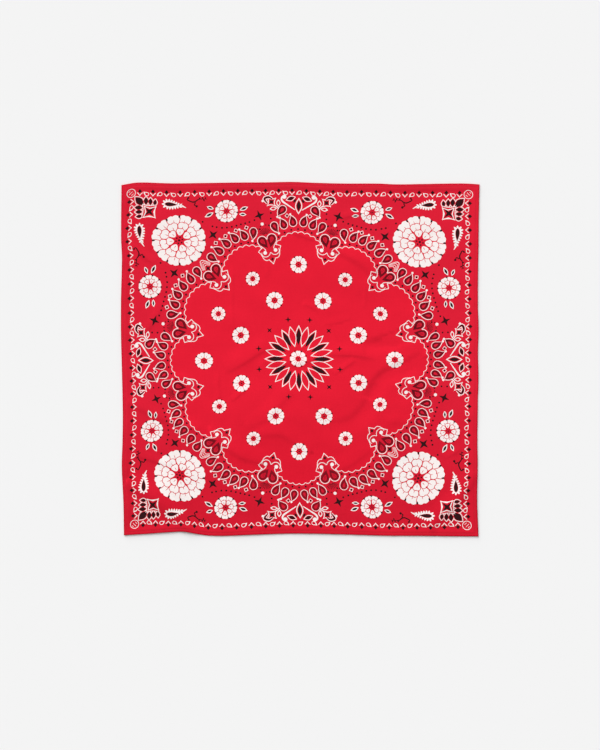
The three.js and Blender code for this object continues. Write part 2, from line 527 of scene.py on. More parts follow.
@dataclass(frozen=True)
class Cartouche:
    """The twelve-lobed frame round the field, with a row of paisleys outside it."""

    lobes: int = 12
    centre: float = 153.4
    radius: float = 43.4
    half_sweep: float = 56.0
    scallops: int = 8
    bulge: float = 2.6
    line: float = 0.95
    dots: int = 7
    dots_reach: float = 9.3
    dots_top: float = 201.6
    dots_fall: float = 0.115
    corner_paisleys: tuple[PlacedPaisley, ...] = (
        PlacedPaisley(-10.3, 210.5, -8.3, 197.0),
        PlacedPaisley(-5.9, 208.0, -5.1, 221.6),
        PlacedPaisley(-1.9, 210.8, -0.8, 224.6),
        PlacedPaisley(2.2, 210.6, 3.6, 224.2),
        PlacedPaisley(6.5, 208.0, 8.1, 221.6),
        PlacedPaisley(10.9, 211.0, 9.7, 197.3),
    )
    side_paisleys: tuple[PlacedPaisley, ...] = (
        PlacedPaisley(2.2, 211.6, 3.3, 225.2),
        PlacedPaisley(6.2, 208.8, 7.6, 221.6),
        PlacedPaisley(10.4, 210.8, 8.8, 197.2),
    )
    corner_squares: tuple[tuple[float, float], ...] = (
        (-8.1, 219.8), (-3.7, 222.4), (1.0, 222.9), (5.7, 222.6),
    )
    side_squares: tuple[tuple[float, float], ...] = ((-4.6, 223.4), (4.6, 223.4))

    def scalloped(self) -> Outline:
        """The wavy line of one lobe.

        Returns:
            Its points from one end to the other.
        """
        line = []
        steps = 5
        for k in range(self.scallops * steps + 1):
            share = k / (self.scallops * steps)
            way = self.half_sweep * (2 * share - 1)
            wave = abs(math.sin(math.pi * share * self.scallops))
            line.append(self.centre + polar(self.radius + self.bulge * (wave - 0.6), way))
        return line

    def square(self) -> Motif:
        """A small square with a dot in it.

        Returns:
            The white square on its point and its black dot.
        """
        motif = Motif().lay(Ink.WHITE, star(0j, 3.7, 2.0, 0, 1))
        motif.lay(Ink.GROUND, star(0j, 2.6, 2.0, 0, 1))
        return motif.lay(Ink.BLACK, disc(0j, 1.5, 8))

    def lobe(self) -> Motif:
        """What every lobe has.

        Returns:
            The wavy line and the dots outside it.
        """
        motif = Motif().lay(Ink.WHITE, stroke(self.scalloped(), self.line))
        for k in range(self.dots):
            off = self.dots_reach * (2 * k / (self.dots - 1) - 1)
            reach = self.dots_top - self.dots_fall * off * off
            motif.lay(Ink.BLACK, disc(polar(reach, off), 1.55, 8))
        return motif

    def build(self) -> Motif:
        """All twelve lobes.

        Returns:
            One on each side's middle and two towards each corner, with their paisleys and squares.
        """
        kind = Paisley()
        side = self.lobe()
        half = Motif().join(*(row.build(kind) for row in self.side_paisleys))
        side.join(half.twice())
        for off, reach in self.side_squares:
            side.join(self.square().placed(polar(reach, off), off))
        corner = self.lobe().join(*(row.build(kind) for row in self.corner_paisleys))
        for off, reach in self.corner_squares:
            corner.join(self.square().placed(polar(reach, off), off))
        corner = corner.placed(turn=30)
        return Motif().join(side.ring(4), corner.ring(4), corner.placed(turn=90, mirrored=True).ring(4))


@dataclass(frozen=True)
class Cusp:
    """The motif between two lobes: a heart of two paisleys on a pair of scrolls in a pointed crown.

    Its own frame has the first axis pointing outward, from the middle of the cloth.
    """

    heart: complex = 191.6 + 7.9j
    heart_radius: float = 8.2
    blob: complex = 172.7 + 8.6j
    blob_radius: float = 2.9
    line: float = 1.05

    def heart_halves(self) -> Motif:
        """The two paisleys of the heart. They share one white rim, so each layer is laid on both at once.

        Returns:
            The heart, its waist cleared for the scrolls.
        """
        layers = (
            (Ink.WHITE, 0.0, 176.6 + 3.4j, 10),
            (Ink.GROUND, 1.1, 175.0 + 2.4j, 10),
            (Ink.HATCH, 1.8, 179.0 + 1.9j, 9),
            (Ink.GROUND, 5.0, 185.2 + 4.2j, 7),
        )
        motif = Motif()
        for ink, inset, tail, steps in layers:
            paisley = drop(self.heart, self.heart_radius - inset, tail, -0.06, steps)
            motif.join(Motif().lay(ink, paisley).twice())
            if ink is Ink.GROUND and tail.real < 176:
                motif.lay(Ink.GROUND, leaf(complex(193.5), complex(170.0), 8.6, 0.55, 6))
        hatch = Motif()
        for k in range(-1, 2, 2):
            start = self.heart + complex(1.6, 1.2 * k)
            end = self.heart + complex(-4.4, 0.7 * k - 1.2)
            hatch.lay(Ink.HATCH, stroke([start, end], 0.6))
        return motif.join(hatch.twice())

    def half_scroll(self) -> Motif:
        """One of the two scrolls under the heart.

        Returns:
            The neck from the heart's rim to its blob, and the hook that curls back round the blob.
        """
        neck = curve([184.5 + 12.2j, 180.0 + 8.6j, 176.4 + 6.8j, self.blob], 4)
        motif = Motif().lay(Ink.WHITE, stroke(neck, self.line, 0.5, 1.0))
        motif.lay(Ink.WHITE, disc(self.blob, self.blob_radius, 14))
        hook = curve([174.6 + 13.6j, 170.6 + 14.2j, 167.0 + 11.2j, 166.0 + 7.0j,
                      167.6 + 3.0j, 171.4 + 0.0j], 4)
        return motif.lay(Ink.WHITE, stroke(hook, self.line, 0.6, 0.9))

    def half_crown(self) -> Outline:
        """One half of the crown's line.

        Returns:
            Its points from the end of a lobe's line, round its barb and down to the point.
        """
        barb = [181.6 + 10.6j, 180.2 + 13.2j, 178.6 + 15.6j, 176.8 + 18.6j]
        flank = [barb[-1], 172.2 + 15.6j, 168.2 + 14.2j, 163.7 + 12.8j]
        scallop = [flank[-1], 161.2 + 10.4j, 160.4 + 7.6j, 161.0 + 5.2j]
        ogee = [scallop[-1], 158.0 + 3.6j, 155.0 + 1.4j, 152.4 + 0.0j]
        return [p for part in (barb, flank, scallop) for p in curve(part, 3)[:-1]] + curve(ogee, 3)

    def build(self) -> Motif:
        """The whole motif.

        Returns:
            The heart, the scrolls and the crown with its small star.
        """
        half = self.half_scroll().lay(Ink.WHITE, stroke(self.half_crown(), self.line))
        motif = self.heart_halves().join(half.twice())
        return motif.lay(Ink.BLACK, star(complex(160.4), 2.9, 2.6, 0, 2))

    def shell(self) -> Motif:
        """The corner's mark outside the heart.

        Returns:
            A shell of four white pointed arches round a black star.
        """
        middle = complex(200.5)
        motif = Motif()
        for share, width in ((1.0, 1.0), (0.79, 0.75), (0.58, 0.75), (0.38, 0.75)):
            spread = 0.45 + 0.55 * share
            half = [16.2 + 0.0j, 15.0 + 2.6j, 9.0 + 5.9j, 3.2 + 7.9j]
            side = [complex(p.real * share, p.imag * spread) for p in half]
            arch = curve([middle + p.conjugate() for p in side[:0:-1]] + [middle + p for p in side], 3)
            motif.lay(Ink.WHITE, stroke(arch, width, 0.7, 0.7))
        return motif.lay(Ink.BLACK, spark(middle, 4.9, 0, 0.36))

    def fan(self) -> Motif:
        """The mark outside the other hearts.

        Returns:
            A fan of nine fine black lines between dots.
        """
        motif = Motif()
        root = complex(198.5)
        for k in range(-4, 5):
            ray = [root + polar(3.0, 13 * k), root + polar(12.4 - 0.35 * abs(k), 13 * k)]
            motif.lay(Ink.BLACK, stroke(ray, 1.05, 0.5, 0.8))
        dots = (211.6 + 9.6j, 214.6 + 4.4j)
        side = Motif().lay(Ink.BLACK, *(disc(dot, 1.05, 7) for dot in dots))
        return motif.join(side.twice())


@dataclass(frozen=True)
class SideCrest:
    """The group at the middle of each side: three dark leaves between scrolls, with a sprig each way.

    Its own frame has the first axis pointing outward.
    """

    def sprig(self) -> Motif:
        """What grows to one side of the crest.

        Returns:
            The paisley, the stem with its two leaves and the tulip.
        """
        sprig = Paisley(radius=6.9, bend=0.1).build(232.6 + 25.2j, 221.0 + 33.2j, False)
        hook = curve([221.0 + 33.2j, 219.2 + 30.6j, 218.8 + 27.4j], 3)
        sprig.lay(Ink.WHITE, stroke(hook, 1.6, 0.9, 0.6))
        stem = curve([233.2 + 31.6j, 236.2 + 33.2j, 238.6 + 36.2j, 241.0 + 40.0j], 3)
        sprig.lay(Ink.WHITE, stroke(stem, 1.5))
        for base, tip, width in ((236.6 + 31.6j, 248.4 + 32.2j, 6.4), (235.0 + 33.4j, 233.4 + 45.6j, 6.0)):
            within = leaf(base + (tip - base) * 0.2, tip + (base - tip) * 0.18, width - 2.4, 0.55)
            sprig.lay(Ink.WHITE, leaf(base, tip, width, 0.55)).lay(Ink.GROUND, within)
        return sprig.join(self.tulip())

    def tulip(self) -> Motif:
        """A half-open flower seen from the side.

        Returns:
            A black hood over a hollow calyx with a star in it.
        """
        calyx = 244.6 + 42.8j
        hood = curve([249.0 + 41.6j, 252.2 + 47.6j, 249.4 + 54.0j, 242.6 + 49.2j], 4)
        tulip = Motif().lay(Ink.WHITE, stroke(hood, 6.4, 0.5, 0.6))
        tulip.lay(Ink.WHITE, star(calyx, 10.4, 3.0, 42, 3))
        tulip.lay(Ink.GROUND, stroke(hood, 3.9, 0.4, 0.5))
        tulip.lay(Ink.GROUND, star(calyx, 7.6, 2.9, 42, 3))
        tulip.lay(Ink.BLACK, stroke(hood, 2.8, 0.3, 0.3))
        tulip.lay(Ink.WHITE, disc(246.2 + 56.6j, 2.0, 10))
        return tulip.lay(Ink.BLACK, star(calyx, 4.6, 3.0, 42, 2))

    def build(self) -> Motif:
        """The whole group.

        Returns:
            The two halves and the upright leaf between them.
        """
        half = Motif()
        base, tip = 252.2 + 4.8j, 247.0 + 20.6j
        for ink, share, width in ((Ink.WHITE, 0.0, 8.2), (Ink.GROUND, 0.1, 6.2), (Ink.BLACK, 0.15, 5.0)):
            half.lay(ink, leaf(base + (tip - base) * share, tip + (base - tip) * share, width, 0.5))
        half.lay(Ink.BLACK, leaf(243.0 + 8.6j, 249.0 + 4.4j, 3.6, 0.5, 5))
        scroll = curve([253.6 + 25.0j, 251.0 + 27.0j, 247.6 + 26.8j, 244.0 + 24.0j,
                        238.4 + 15.4j, 231.8 + 5.4j], 4)
        half.lay(Ink.WHITE, stroke(scroll, 2.7, 0.75, 0.45))
        half.lay(Ink.WHITE, disc(252.4 + 22.9j, 3.3, 12))
        half.join(self.sprig())
        crest = half.twice()
        for ink, foot, end, width, steps in (
            (Ink.WHITE, 225.0, 251.2, 11.2, 10),
            (Ink.GROUND, 227.6, 248.6, 8.4, 10),
            (Ink.BLACK, 230.4, 246.4, 5.8, 8),
        ):
            crest.lay(ink, leaf(complex(foot), complex(end), width, 0.5, steps))
        return crest


@dataclass(frozen=True)
class CornerGroup:
    """What fills a corner outside the cartouche, drawn for one side of its diagonal and mirrored.

    Its places are distances to the right and up from the middle of the cloth.
    """

    def palmette(self) -> Motif:
        """The group nearest the corner.

        Returns:
            A big black leaf on the diagonal, three petals to each side and a hollow star within.
        """
        middle = 231.6 + 231.6j
        petals = [
            (236.6 + 241.8j, 237.4 + 253.0j, 6.2),
            (230.2 + 241.4j, 230.4 + 251.6j, 5.5),
            (223.8 + 241.0j, 223.0 + 249.8j, 4.7),
        ]
        big = (240.8 + 240.8j, 253.0 + 253.0j, 9.6)
        motif = Motif()
        for ink, more in ((Ink.WHITE, 1.9), (Ink.GROUND, 0.8), (Ink.BLACK, 0.0)):
            rows = [big] + petals
            shapes = []
            for base, tip, width in rows:
                way = (tip - base) / abs(tip - base)
                shapes.append(leaf(base - way * more * 1.3, tip + way * more * 1.3, width + 2 * more, 0.5))
            half = Motif().lay(ink, *shapes)
            motif.join(half, half.placed(turn=90, mirrored=True))
        for ink, reach in ((Ink.WHITE, 16.0), (Ink.GROUND, 14.2)):
            motif.lay(ink, star(middle, reach, 2.6, 45, 4))
        within = middle - (1.4 + 1.4j)
        motif.lay(Ink.WHITE, spark(within, 13.4, 45, 0.5)).lay(Ink.GROUND, spark(within, 11.0, 45, 0.47))
        return motif.lay(Ink.BLACK, spark(middle - (0.6 + 0.6j), 9.8, 45, 0.28))

    def feathered(self) -> Motif:
        """A paisley lying along the edge.

        Returns:
            The white paisley with evenly spaced teeth round it and a black core.
        """
        head = 204.8 + 244.1j
        tip = 182.7 + 241.0j
        body = drop(head, 5.5, tip, 0.05, 16)
        motif = Motif()
        seeds = []
        spacing = 3.9
        due = spacing / 2
        for before, point in zip(body, body[1:] + body[:1]):
            way = point - before
            if due < abs(way):
                foot = before + way / abs(way) * due
                out = -1j * way / abs(way) if area(body) > 0 else 1j * way / abs(way)
                motif.lay(Ink.WHITE, leaf(foot - out * 1.4, foot + out * 3.1, 3.1, 0.45, 4))
                seeds.append(disc(foot + way / abs(way) * spacing / 2 + out * 0.2, 0.55, 5))
                due += spacing
            due -= abs(way)
        motif.lay(Ink.WHITE, body)
        motif.lay(Ink.WHITE, stroke(curve([tip + 5.0, tip, tip + (-7.0 - 3.6j)], 3), 2.4, 1.0, 0.3))
        for side in (-1, 1):
            motif.lay(Ink.WHITE, leaf(tip + 2.0, tip + complex(-1.0, 3.4 * side), 1.8, 0.5, 4))
        base, point = 208.6 + 244.1j, 189.4 + 242.5j
        motif.lay(Ink.GROUND, leaf(base + 0.7, point - 0.8, 6.9, 0.36, 10))
        return motif.lay(Ink.BLACK, leaf(base, point, 5.6, 0.36, 10), *seeds)

    def tendril(self) -> Motif:
        """A tendril near the edge.

        Returns:
            The thin black tendril with its small leaves.
        """
        line = curve([172.6 + 252.9j, 174.0 + 250.4j, 169.4 + 247.8j, 164.9 + 246.3j,
                      160.4 + 247.7j, 157.2 + 250.2j, 152.0 + 250.9j, 143.0 + 250.2j], 3)
        motif = Motif().lay(Ink.BLACK, stroke(line, 1.9, 0.8, 0.3), disc(172.2 + 253.2j, 1.5, 8))
        branch = curve([161.0 + 245.1j, 162.9 + 241.8j, 159.1 + 239.6j], 3)
        motif.lay(Ink.BLACK, stroke([163.4 + 246.6j, *branch], 1.7, 0.8, 0.6), disc(branch[-1], 1.9, 8))
        for base, tip in (
            (153.4 + 250.2j, 156.2 + 253.9j),
            (149.4 + 250.5j, 150.6 + 254.5j),
            (145.8 + 250.2j, 145.6 + 254.0j),
            (149.0 + 250.7j, 147.0 + 246.9j),
        ):
            motif.lay(Ink.BLACK, leaf(base, tip, 2.0, 0.5, 4))
        return motif

    def half(self) -> Motif:
        """The pieces of one half.

        Returns:
            The feathered paisley, the tendril, and a flower with its leaves, stars and dots.
        """
        motif = Motif().join(self.feathered(), self.tendril())
        flower = Blossom(rows=((9, 9.0, 17.6, 10.6), (7, 5.0, 11.6, 6.6)), eye=4.4, seam=0.8, tick=1.5)
        motif.join(flower.build().placed(113.0 + 230.6j, 8))
        for base, tip, width in (
            (133.0 + 229.0j, 146.6 + 222.0j, 6.2),
            (132.6 + 234.6j, 143.6 + 238.6j, 5.4),
            (92.6 + 231.6j, 79.4 + 236.8j, 6.2),
            (93.4 + 225.4j, 82.0 + 224.6j, 5.2),
        ):
            motif.lay(Ink.WHITE, leaf(base, tip, width, 0.5))
            way = tip - base
            motif.lay(Ink.BLACK, leaf(base + way * 0.16, tip - way * 0.16, width - 2.6, 0.5, 6))
        motif.lay(Ink.BLACK, spark(61.6 + 223.4j, 8.7, -21.0, 0.33))
        motif.lay(Ink.BLACK, spark(133.8 + 193.7j, 8.8, 52.0, 0.33))
        motif.lay(Ink.WHITE, disc(57.0 + 209.8j, 2.5, 12))
        trail = curve([134.6 + 207.0j, 120.0 + 204.2j, 104.8 + 205.4j,
                       90.6 + 209.2j, 77.2 + 212.8j, 63.0 + 218.6j], 2)
        for dot in trail[:10]:
            motif.lay(Ink.BLACK, disc(dot, 1.5, 8))
        for dot in (149.8 + 214.7j, 43.4 + 227.2j, 43.4 + 218.6j, 46.4 + 208.0j,
                    60.8 + 201.6j):
            motif.lay(Ink.BLACK, disc(dot, 1.45, 8))
        return motif

    def build(self) -> Motif:
        """The whole corner.

        Returns:
            The corner in the upper right.
        """
        half = self.half()
        corner = self.palmette().join(half, half.placed(turn=90, mirrored=True))
        big = Blossom(rows=((12, 23.4, 40.6, 19.8), (9, 14.8, 28.8, 15.4), (7, 8.4, 18.6, 11.2)),
                      eye=8.0, seam=1.1, tick=1.9)
        return corner.join(big.build().placed(185.6 + 185.6j, 45))


@dataclass(frozen=True)
class Field:
    """The small flowers scattered inside the cartouche: an outer ring and an inner one."""

    outer: float = 146.0
    inner: float = 98.0

    def build(self) -> Motif:
        """Both rings.

        Returns:
            Twelve outer flowers, of which every third is large, and eight large inner ones.
        """
        large = Blossom(rows=((6, 4.6, 13.0, 11.0),), eye=4.9, seam=0.7, tick=1.3, notch=0.14).build()
        small = Blossom(rows=((9, 4.0, 10.8, 6.0),), eye=4.2, seam=0.6, tick=1.1).build()
        flowers = Motif()
        for k in range(12):
            flower, reach = (small, self.outer - 2) if k % 3 else (large, self.outer)
            flowers.join(flower.placed(polar(reach, 30 * k), 30 * k))
        return flowers.join(large.ring(8, self.inner, 22.5))


@dataclass(frozen=True)
class Print:
    """The whole print."""

    def zones(self) -> Motif:
        """Where the ground has the field's lighter red. Outside it, the ground's darker red is painted
        shade.

        Returns:
            The area within the lobes' lines, less the crowns.
        """
        cartouche = Cartouche()
        half = Cusp().half_crown()
        crown = Motif().lay(Ink.GROUND, half + [p.conjugate() for p in half[-2::-1]])
        turns = [polar(1.0, 360 * k / cartouche.lobes) for k in range(cartouche.lobes)]
        lobes = Motif().lay(Ink.FIELD, [turn * place for turn in turns for place in cartouche.scalloped()])
        return lobes.join(crown.ring(cartouche.lobes, 0.0, 180 / cartouche.lobes))

    def build(self) -> Motif:
        """Lays every motif in its place.

        Returns:
            The print of a square cloth.
        """
        cusp = Cusp()
        side_cusp = cusp.build().join(cusp.fan())
        corner_cusp = cusp.build().join(cusp.shell())
        whole = Motif().join(Border().build(), Field().build(), Medallion().build(), Cartouche().build())
        whole.join(side_cusp.ring(4, 0, 15), side_cusp.ring(4, 0, 75), corner_cusp.ring(4, 0, 45))
        whole.join(SideCrest().build().ring(4), CornerGroup().build().ring(4))
        return whole


def area(outline: Outline) -> float:
    """Twice the area inside an outline, over 0 where it turns to the left."""
    return sum((a.conjugate() * b).imag for a, b in zip(outline, outline[1:] + outline[:1]))


def cleaned(outline: Outline, least: float = 0.05, straight: float = 0.045) -> Outline:
    """The outline turning to the left, without the points that its shape doesn't need.

    Args:
        outline: The points round a patch.
        least: Two points nearer than this, in mm, become one.
        straight: A point this near the line between its neighbours goes.

    Returns:
        The points that are left.
    """
    kept: Outline = []
    for point in outline:
        if not kept or abs(point - kept[-1]) > least:
            kept.append(point)
    while len(kept) > 1 and abs(kept[0] - kept[-1]) <= least:
        kept.pop()
    thin: Outline = []
    for i, point in enumerate(kept):
        before = thin[-1] if thin else kept[-1]
        way = kept[(i + 1) % len(kept)] - before
        off = abs(((point - before) * way.conjugate()).imag) / max(abs(way), least)
        ahead = ((point - before) * way.conjugate()).real > 0
        if off > straight or not ahead:
            thin.append(point)
    return thin if area(thin) > 0 else thin[::-1]


class Side(Enum):
    """An edge of the cloth. The value points outward from its middle."""

    TOP = (0, 1)
    BOTTOM = (0, -1)
    LEFT = (-1, 0)
    RIGHT = (1, 0)

    @property
    def upright(self) -> bool:
        """Whether the edge runs up the cloth."""
        return self.value[0] != 0


@dataclass(frozen=True)
class Edge:
    """How far an edge stands out of its straight line. Each place is (at, out) in millimetres."""

    places: tuple[tuple[float, float], ...]

    def out(self, at: Numbers) -> Numbers:
        """The stand of the edge, on a smooth curve through its places.

        Args:
            at: Distances along the edge from its middle.

        Returns:
            How far the edge stands out at each of them.
        """
        place, out = np.array(self.places).T
        slope = np.empty_like(out)
        slope[1:-1] = (out[2:] - out[:-2]) / (place[2:] - place[:-2])
        slope[0] = (out[1] - out[0]) / (place[1] - place[0])
        slope[-1] = (out[-1] - out[-2]) / (place[-1] - place[-2])
        at = np.clip(at, place[0], place[-1])
        i = np.clip(np.searchsorted(place, at) - 1, 0, len(place) - 2)
        span = place[i + 1] - place[i]
        t = (at - place[i]) / span
        ease = t * t * (3 - 2 * t)
        start = out[i] * (1 - ease) + out[i + 1] * ease
        bend = slope[i] * t * (1 - t) ** 2 - slope[i + 1] * t * t * (1 - t)
        return start + bend * span


EDGES = {
    Side.LEFT: Edge((
        (-272, -3.0), (-224, -2.3), (-165, 0.3), (-125, -0.8), (-80, -1.2), (-14, 0.2),
        (36, 1.5), (90, 1.6), (134, 0.6), (159, 0.1), (190, 1.4), (272, 0.8),
    )),
    Side.RIGHT: Edge((
        (-272, 0.6), (-212, -1.5), (-165, -0.6), (-125, -1.1), (-60, -0.3), (-26, 0.6),
        (11, -0.2), (48, 0.8), (80, -0.2), (130, -0.2), (165, 0.5), (215, 1.0), (272, 2.2),
    )),
    Side.TOP: Edge((
        (-275, -2.8), (-250, 1.0), (-200, -0.2), (-165, 0.1), (-100, 1.0), (-56, 1.3), (-12, 2.0),
        (20, 0.7), (62, -0.4), (120, -0.6), (148, -1.8), (185, -1.3), (250, -0.4), (275, -1.8),
    )),
    Side.BOTTOM: Edge((
        (-275, 0.8), (-241, -1.3), (-204, -3.9), (-182, -4.6), (-165, -1.8), (-145, 1.2), (-117, 1.7),
        (-85, 0.4), (-20, -1.7), (30, -1.5), (80, -0.1), (130, 1.4), (190, 1.7), (240, 2.4), (275, 2.6),
    )),
}


@dataclass(frozen=True)
class Swell:
    """A broad low rise of the cloth: its middle, its two half widths and its height."""

    x: float
    y: float
    across: float
    up: float
    rise: float

    def at(self, flat: Numbers) -> Numbers:
        """Its height over places of the flat cloth."""
        away = np.hypot((flat.real - self.x) / self.across, (flat.imag - self.y) / self.up)
        return self.rise * np.cos(np.pi / 2 * np.minimum(away, 1)) ** 2


@dataclass(frozen=True)
class Fold:
    """A crease along a bent line through places of the flat cloth.

    A rise over 0 is a ridge and one under 0 is a trough. Its sides are rounded, each with a width of its
    own, and are named as seen on the way from the first place to the last.
    """

    places: tuple[tuple[float, float], ...]
    rise: float
    left: float
    right: float

    def line(self) -> Outline:
        """Its middle line in short straight pieces."""
        return curve([complex(*place) for place in self.places], 4)

    def at(self, flat: Numbers) -> Numbers:
        """Its height over the flat cloth.

        Args:
            flat: Places of the flat cloth.

        Returns:
            The height at each place, fading out at both ends of the crease.
        """
        line = self.line()
        nearest = np.full(flat.shape, np.inf)
        share = np.zeros(flat.shape)
        width = np.ones(flat.shape)
        for i, (a, b) in enumerate(zip(line, line[1:])):
            way = b - a
            off = (flat - a) * way.conjugate()
            t = np.clip(off.real / abs(way) ** 2, 0, 1)
            gap = np.abs(flat - a - t * way)
            closer = gap < nearest
            nearest = np.where(closer, gap, nearest)
            share = np.where(closer, (i + t) / (len(line) - 1), share)
            width = np.where(closer, np.where(off.imag > 0, self.left, self.right), width)
        section = np.cos(np.pi / 2 * np.minimum(nearest / width, 1)) ** 2
        return self.rise * section * np.sqrt(np.sin(np.pi * share))

    def rows(self, spacing: float = 4.0, flank: float = 0.45) -> Outline:
        """Places that let the mesh follow the crease.

        Args:
            spacing: How far apart they are along it.
            flank: Where the outer rows run, as a share of each side's width.

        Returns:
            Places in three rows: along its middle and on both its sides.
        """
        offsets = (self.left * flank, 0.0, -self.right * flank)
        places = []
        line = self.line()
        for a, b in zip(line, line[1:]):
            way = (b - a) / abs(b - a)
            count = max(1, round(abs(b - a) / spacing))
            for k in range(count):
                places += [a + (b - a) * k / count + 1j * way * off for off in offsets]
        return places


SWELLS = (
    Swell(95, -32, 145, 135, 2.3),
    Swell(-50, -85, 120, 80, 2.0),
    Swell(70, 140, 130, 60, 1.2),
    Swell(-225, -225, 75, 75, 1.6),
    Swell(235, -205, 70, 80, 1.2),
)

# The larger creases, and then the fainter ones.
FOLDS = tuple(Fold(*row) for row in (
    (((44, 176), (66, 166), (92, 152), (116, 132)), 1.7, 24, 12),
    (((98, 20), (126, 27), (152, 37), (178, 48), (206, 58)), -2.1, 12, 22),
    (((44, 8), (78, 8), (114, 4)), 1.0, 20, 7),
    (((46, -104), (82, -95), (106, -66), (118, -38)), -1.2, 13, 26),
    (((104, -60), (116, -38), (133, -22), (155, -13), (194, 7)), -2.0, 13, 26),
    (((-114, -18), (-86, -3), (-64, 10), (-46, 18)), 1.25, 28, 9),
    (((-60, -4), (-8, -8), (44, 6)), 1.0, 16, 9),
    (((-88, -103), (-52, -90), (-30, -65), (-14, -50)), 0.95, 22, 12),
    (((-68, -117), (-32, -115), (-6, -129), (18, -147)), 1.1, 24, 11),
    (((-268, -64), (-224, -88), (-186, -104), (-154, -111)), 1.3, 18, 9),
    (((-146, -116), (-112, -134), (-82, -152), (-44, -160)), 1.7, 26, 11),
    (((50, -172), (78, -160), (108, -136)), 0.9, 24, 11),
    (((-268, -186), (-244, -204), (-204, -236), (-164, -278)), 2.9, 22, 17),
    (((-256, -148), (-230, -156), (-200, -168)), 1.0, 13, 7),
    (((-266, 180), (-246, 162), (-222, 146)), 1.1, 12, 7),
    (((-22, 197), (0, 191), (24, 183)), 0.9, 12, 6),
    (((130, -96), (152, -92), (178, -100)), 0.8, 16, 13),
    (((196, -262), (222, -236), (250, -208), (272, -170)), 2.0, 24, 13),
    (((-124, -60), (-127, -40), (-127, -20)), 0.5, 9, 4),
    (((-105, -64), (-93, -53), (-80, -42)), 0.5, 9, 4),
    (((7, 85), (18, 80), (30, 73)), 0.4, 8, 4),
    (((36, 54), (58, 57), (80, 65)), 0.3, 12, 4),
    (((30, -85), (40, -81), (49, -75)), 0.45, 8, 4),
    (((223, -151), (237, -144), (250, -135)), 0.5, 9, 5),
    (((52, -24), (68, -13), (86, 0)), 0.5, 9, 4),
    (((186, 4), (206, 12), (228, 24)), 0.8, 12, 6),
    (((-240, 40), (-222, 62), (-212, 88)), 0.8, 13, 7),
    (((-214, -36), (-190, -30), (-166, -34)), 0.6, 10, 5),
    (((60, 218), (84, 224), (112, 222)), 0.7, 11, 6),
    (((-103, 39), (-104, 96), (-103, 154)), 0.25, 5, 4),
    (((-50, 127), (-50, 140), (-51, 154)), 0.25, 5, 4),
    (((100, 81), (101, 98), (100, 116)), 0.25, 5, 4),
))


@dataclass(frozen=True)
class Pull:
    """A place where the cloth was drawn askew, and the print with it: its middle, its reach, the shift."""

    x: float
    y: float
    reach: float
    right: float
    up: float

    def at(self, place: complex) -> complex:
        """How far it shifts the print at a place of the flat cloth."""
        away = abs(place - complex(self.x, self.y)) / self.reach
        return complex(self.right, self.up) * math.exp(-away * away)


PULLS = tuple(Pull(*row) for row in (
    (40, 200, 120, -2.6, -0.8),
    (-208, -12, 90, 0.0, -3.8),
    (-178, -20, 50, -3.2, 0.0),
    (-262, -45, 110, 2.0, 0.0),
    (-200, 255, 70, 0.0, -1.5),
    (255, 255, 45, -0.9, -1.2),
    (-262, 190, 50, -2.0, 0.0),
    (-246, 195, 40, -2.0, -0.6),
    (-225, 255, 55, 1.0, 0.0),
    (205, 250, 50, -2.6, -0.4),
    (-100, 180, 55, 0.9, 1.2),
    (25, 172, 40, -0.9, 1.3),
    (117, 178, 40, -1.7, -1.1),
    (235, 178, 40, 0.0, -1.6),
    (-190, 45, 55, -0.9, -1.5),
    (180, 30, 50, 1.9, -0.9),
    (191, 66, 35, 0.5, -1.5),
    (-165, -95, 45, -1.8, -1.0),
    (262, -225, 55, 0.2, 3.2),
    (205, -262, 50, -1.2, 0.8),
    (-250, -245, 55, 1.9, 1.6),
    (-195, -245, 40, 0.5, -1.6),
    (-198, -240, 14, 0.0, -2.4),
    (-190, -15, 45, -1.2, 0.4),
    (205, -235, 40, 0.0, -1.3),
    (45, -160, 40, -1.0, -0.6),
    (-30, -185, 35, 1.0, -1.2),
    (-116, -267, 75, -4.6, -0.5),
    (193, -261, 80, -4.2, -0.5),
    (262, 184, 60, 0.0, -2.8),
    (193, -71, 80, -0.5, 2.6),
    (46, -193, 60, -2.5, -1.0),
    (0, -8, 60, -2.4, -1.5),
    (150, -120, 60, -2.5, 1.5),
))


@dataclass(frozen=True)
class Wave:
    """A long low wave that runs over the whole cloth."""

    length: float
    heading: float
    start: float
    rise: float

    def at(self, flat: Numbers) -> Numbers:
        """Its height over the flat cloth.

        Args:
            flat: Places of the flat cloth.

        Returns:
            The height at each place, from 0 to its rise.
        """
        way = polar(1, self.heading)
        run = (flat.real * way.real + flat.imag * way.imag) / self.length
        return self.rise * (1 + np.sin(2 * np.pi * (run + self.start))) / 2


WAVES = (
    Wave(47, 62, 0.15, 0.20),
    Wave(61, 118, 0.55, 0.22),
    Wave(35, 84, 0.80, 0.12),
    Wave(29, 12, 0.30, 0.07),
    Wave(21, 141, 0.45, 0.045),
)

# The pull of the sewing along the hems, as the length of each ripple and its height.
RIPPLES = ((19.0, 0.13), (27.0, 0.12), (44.0, 0.12))


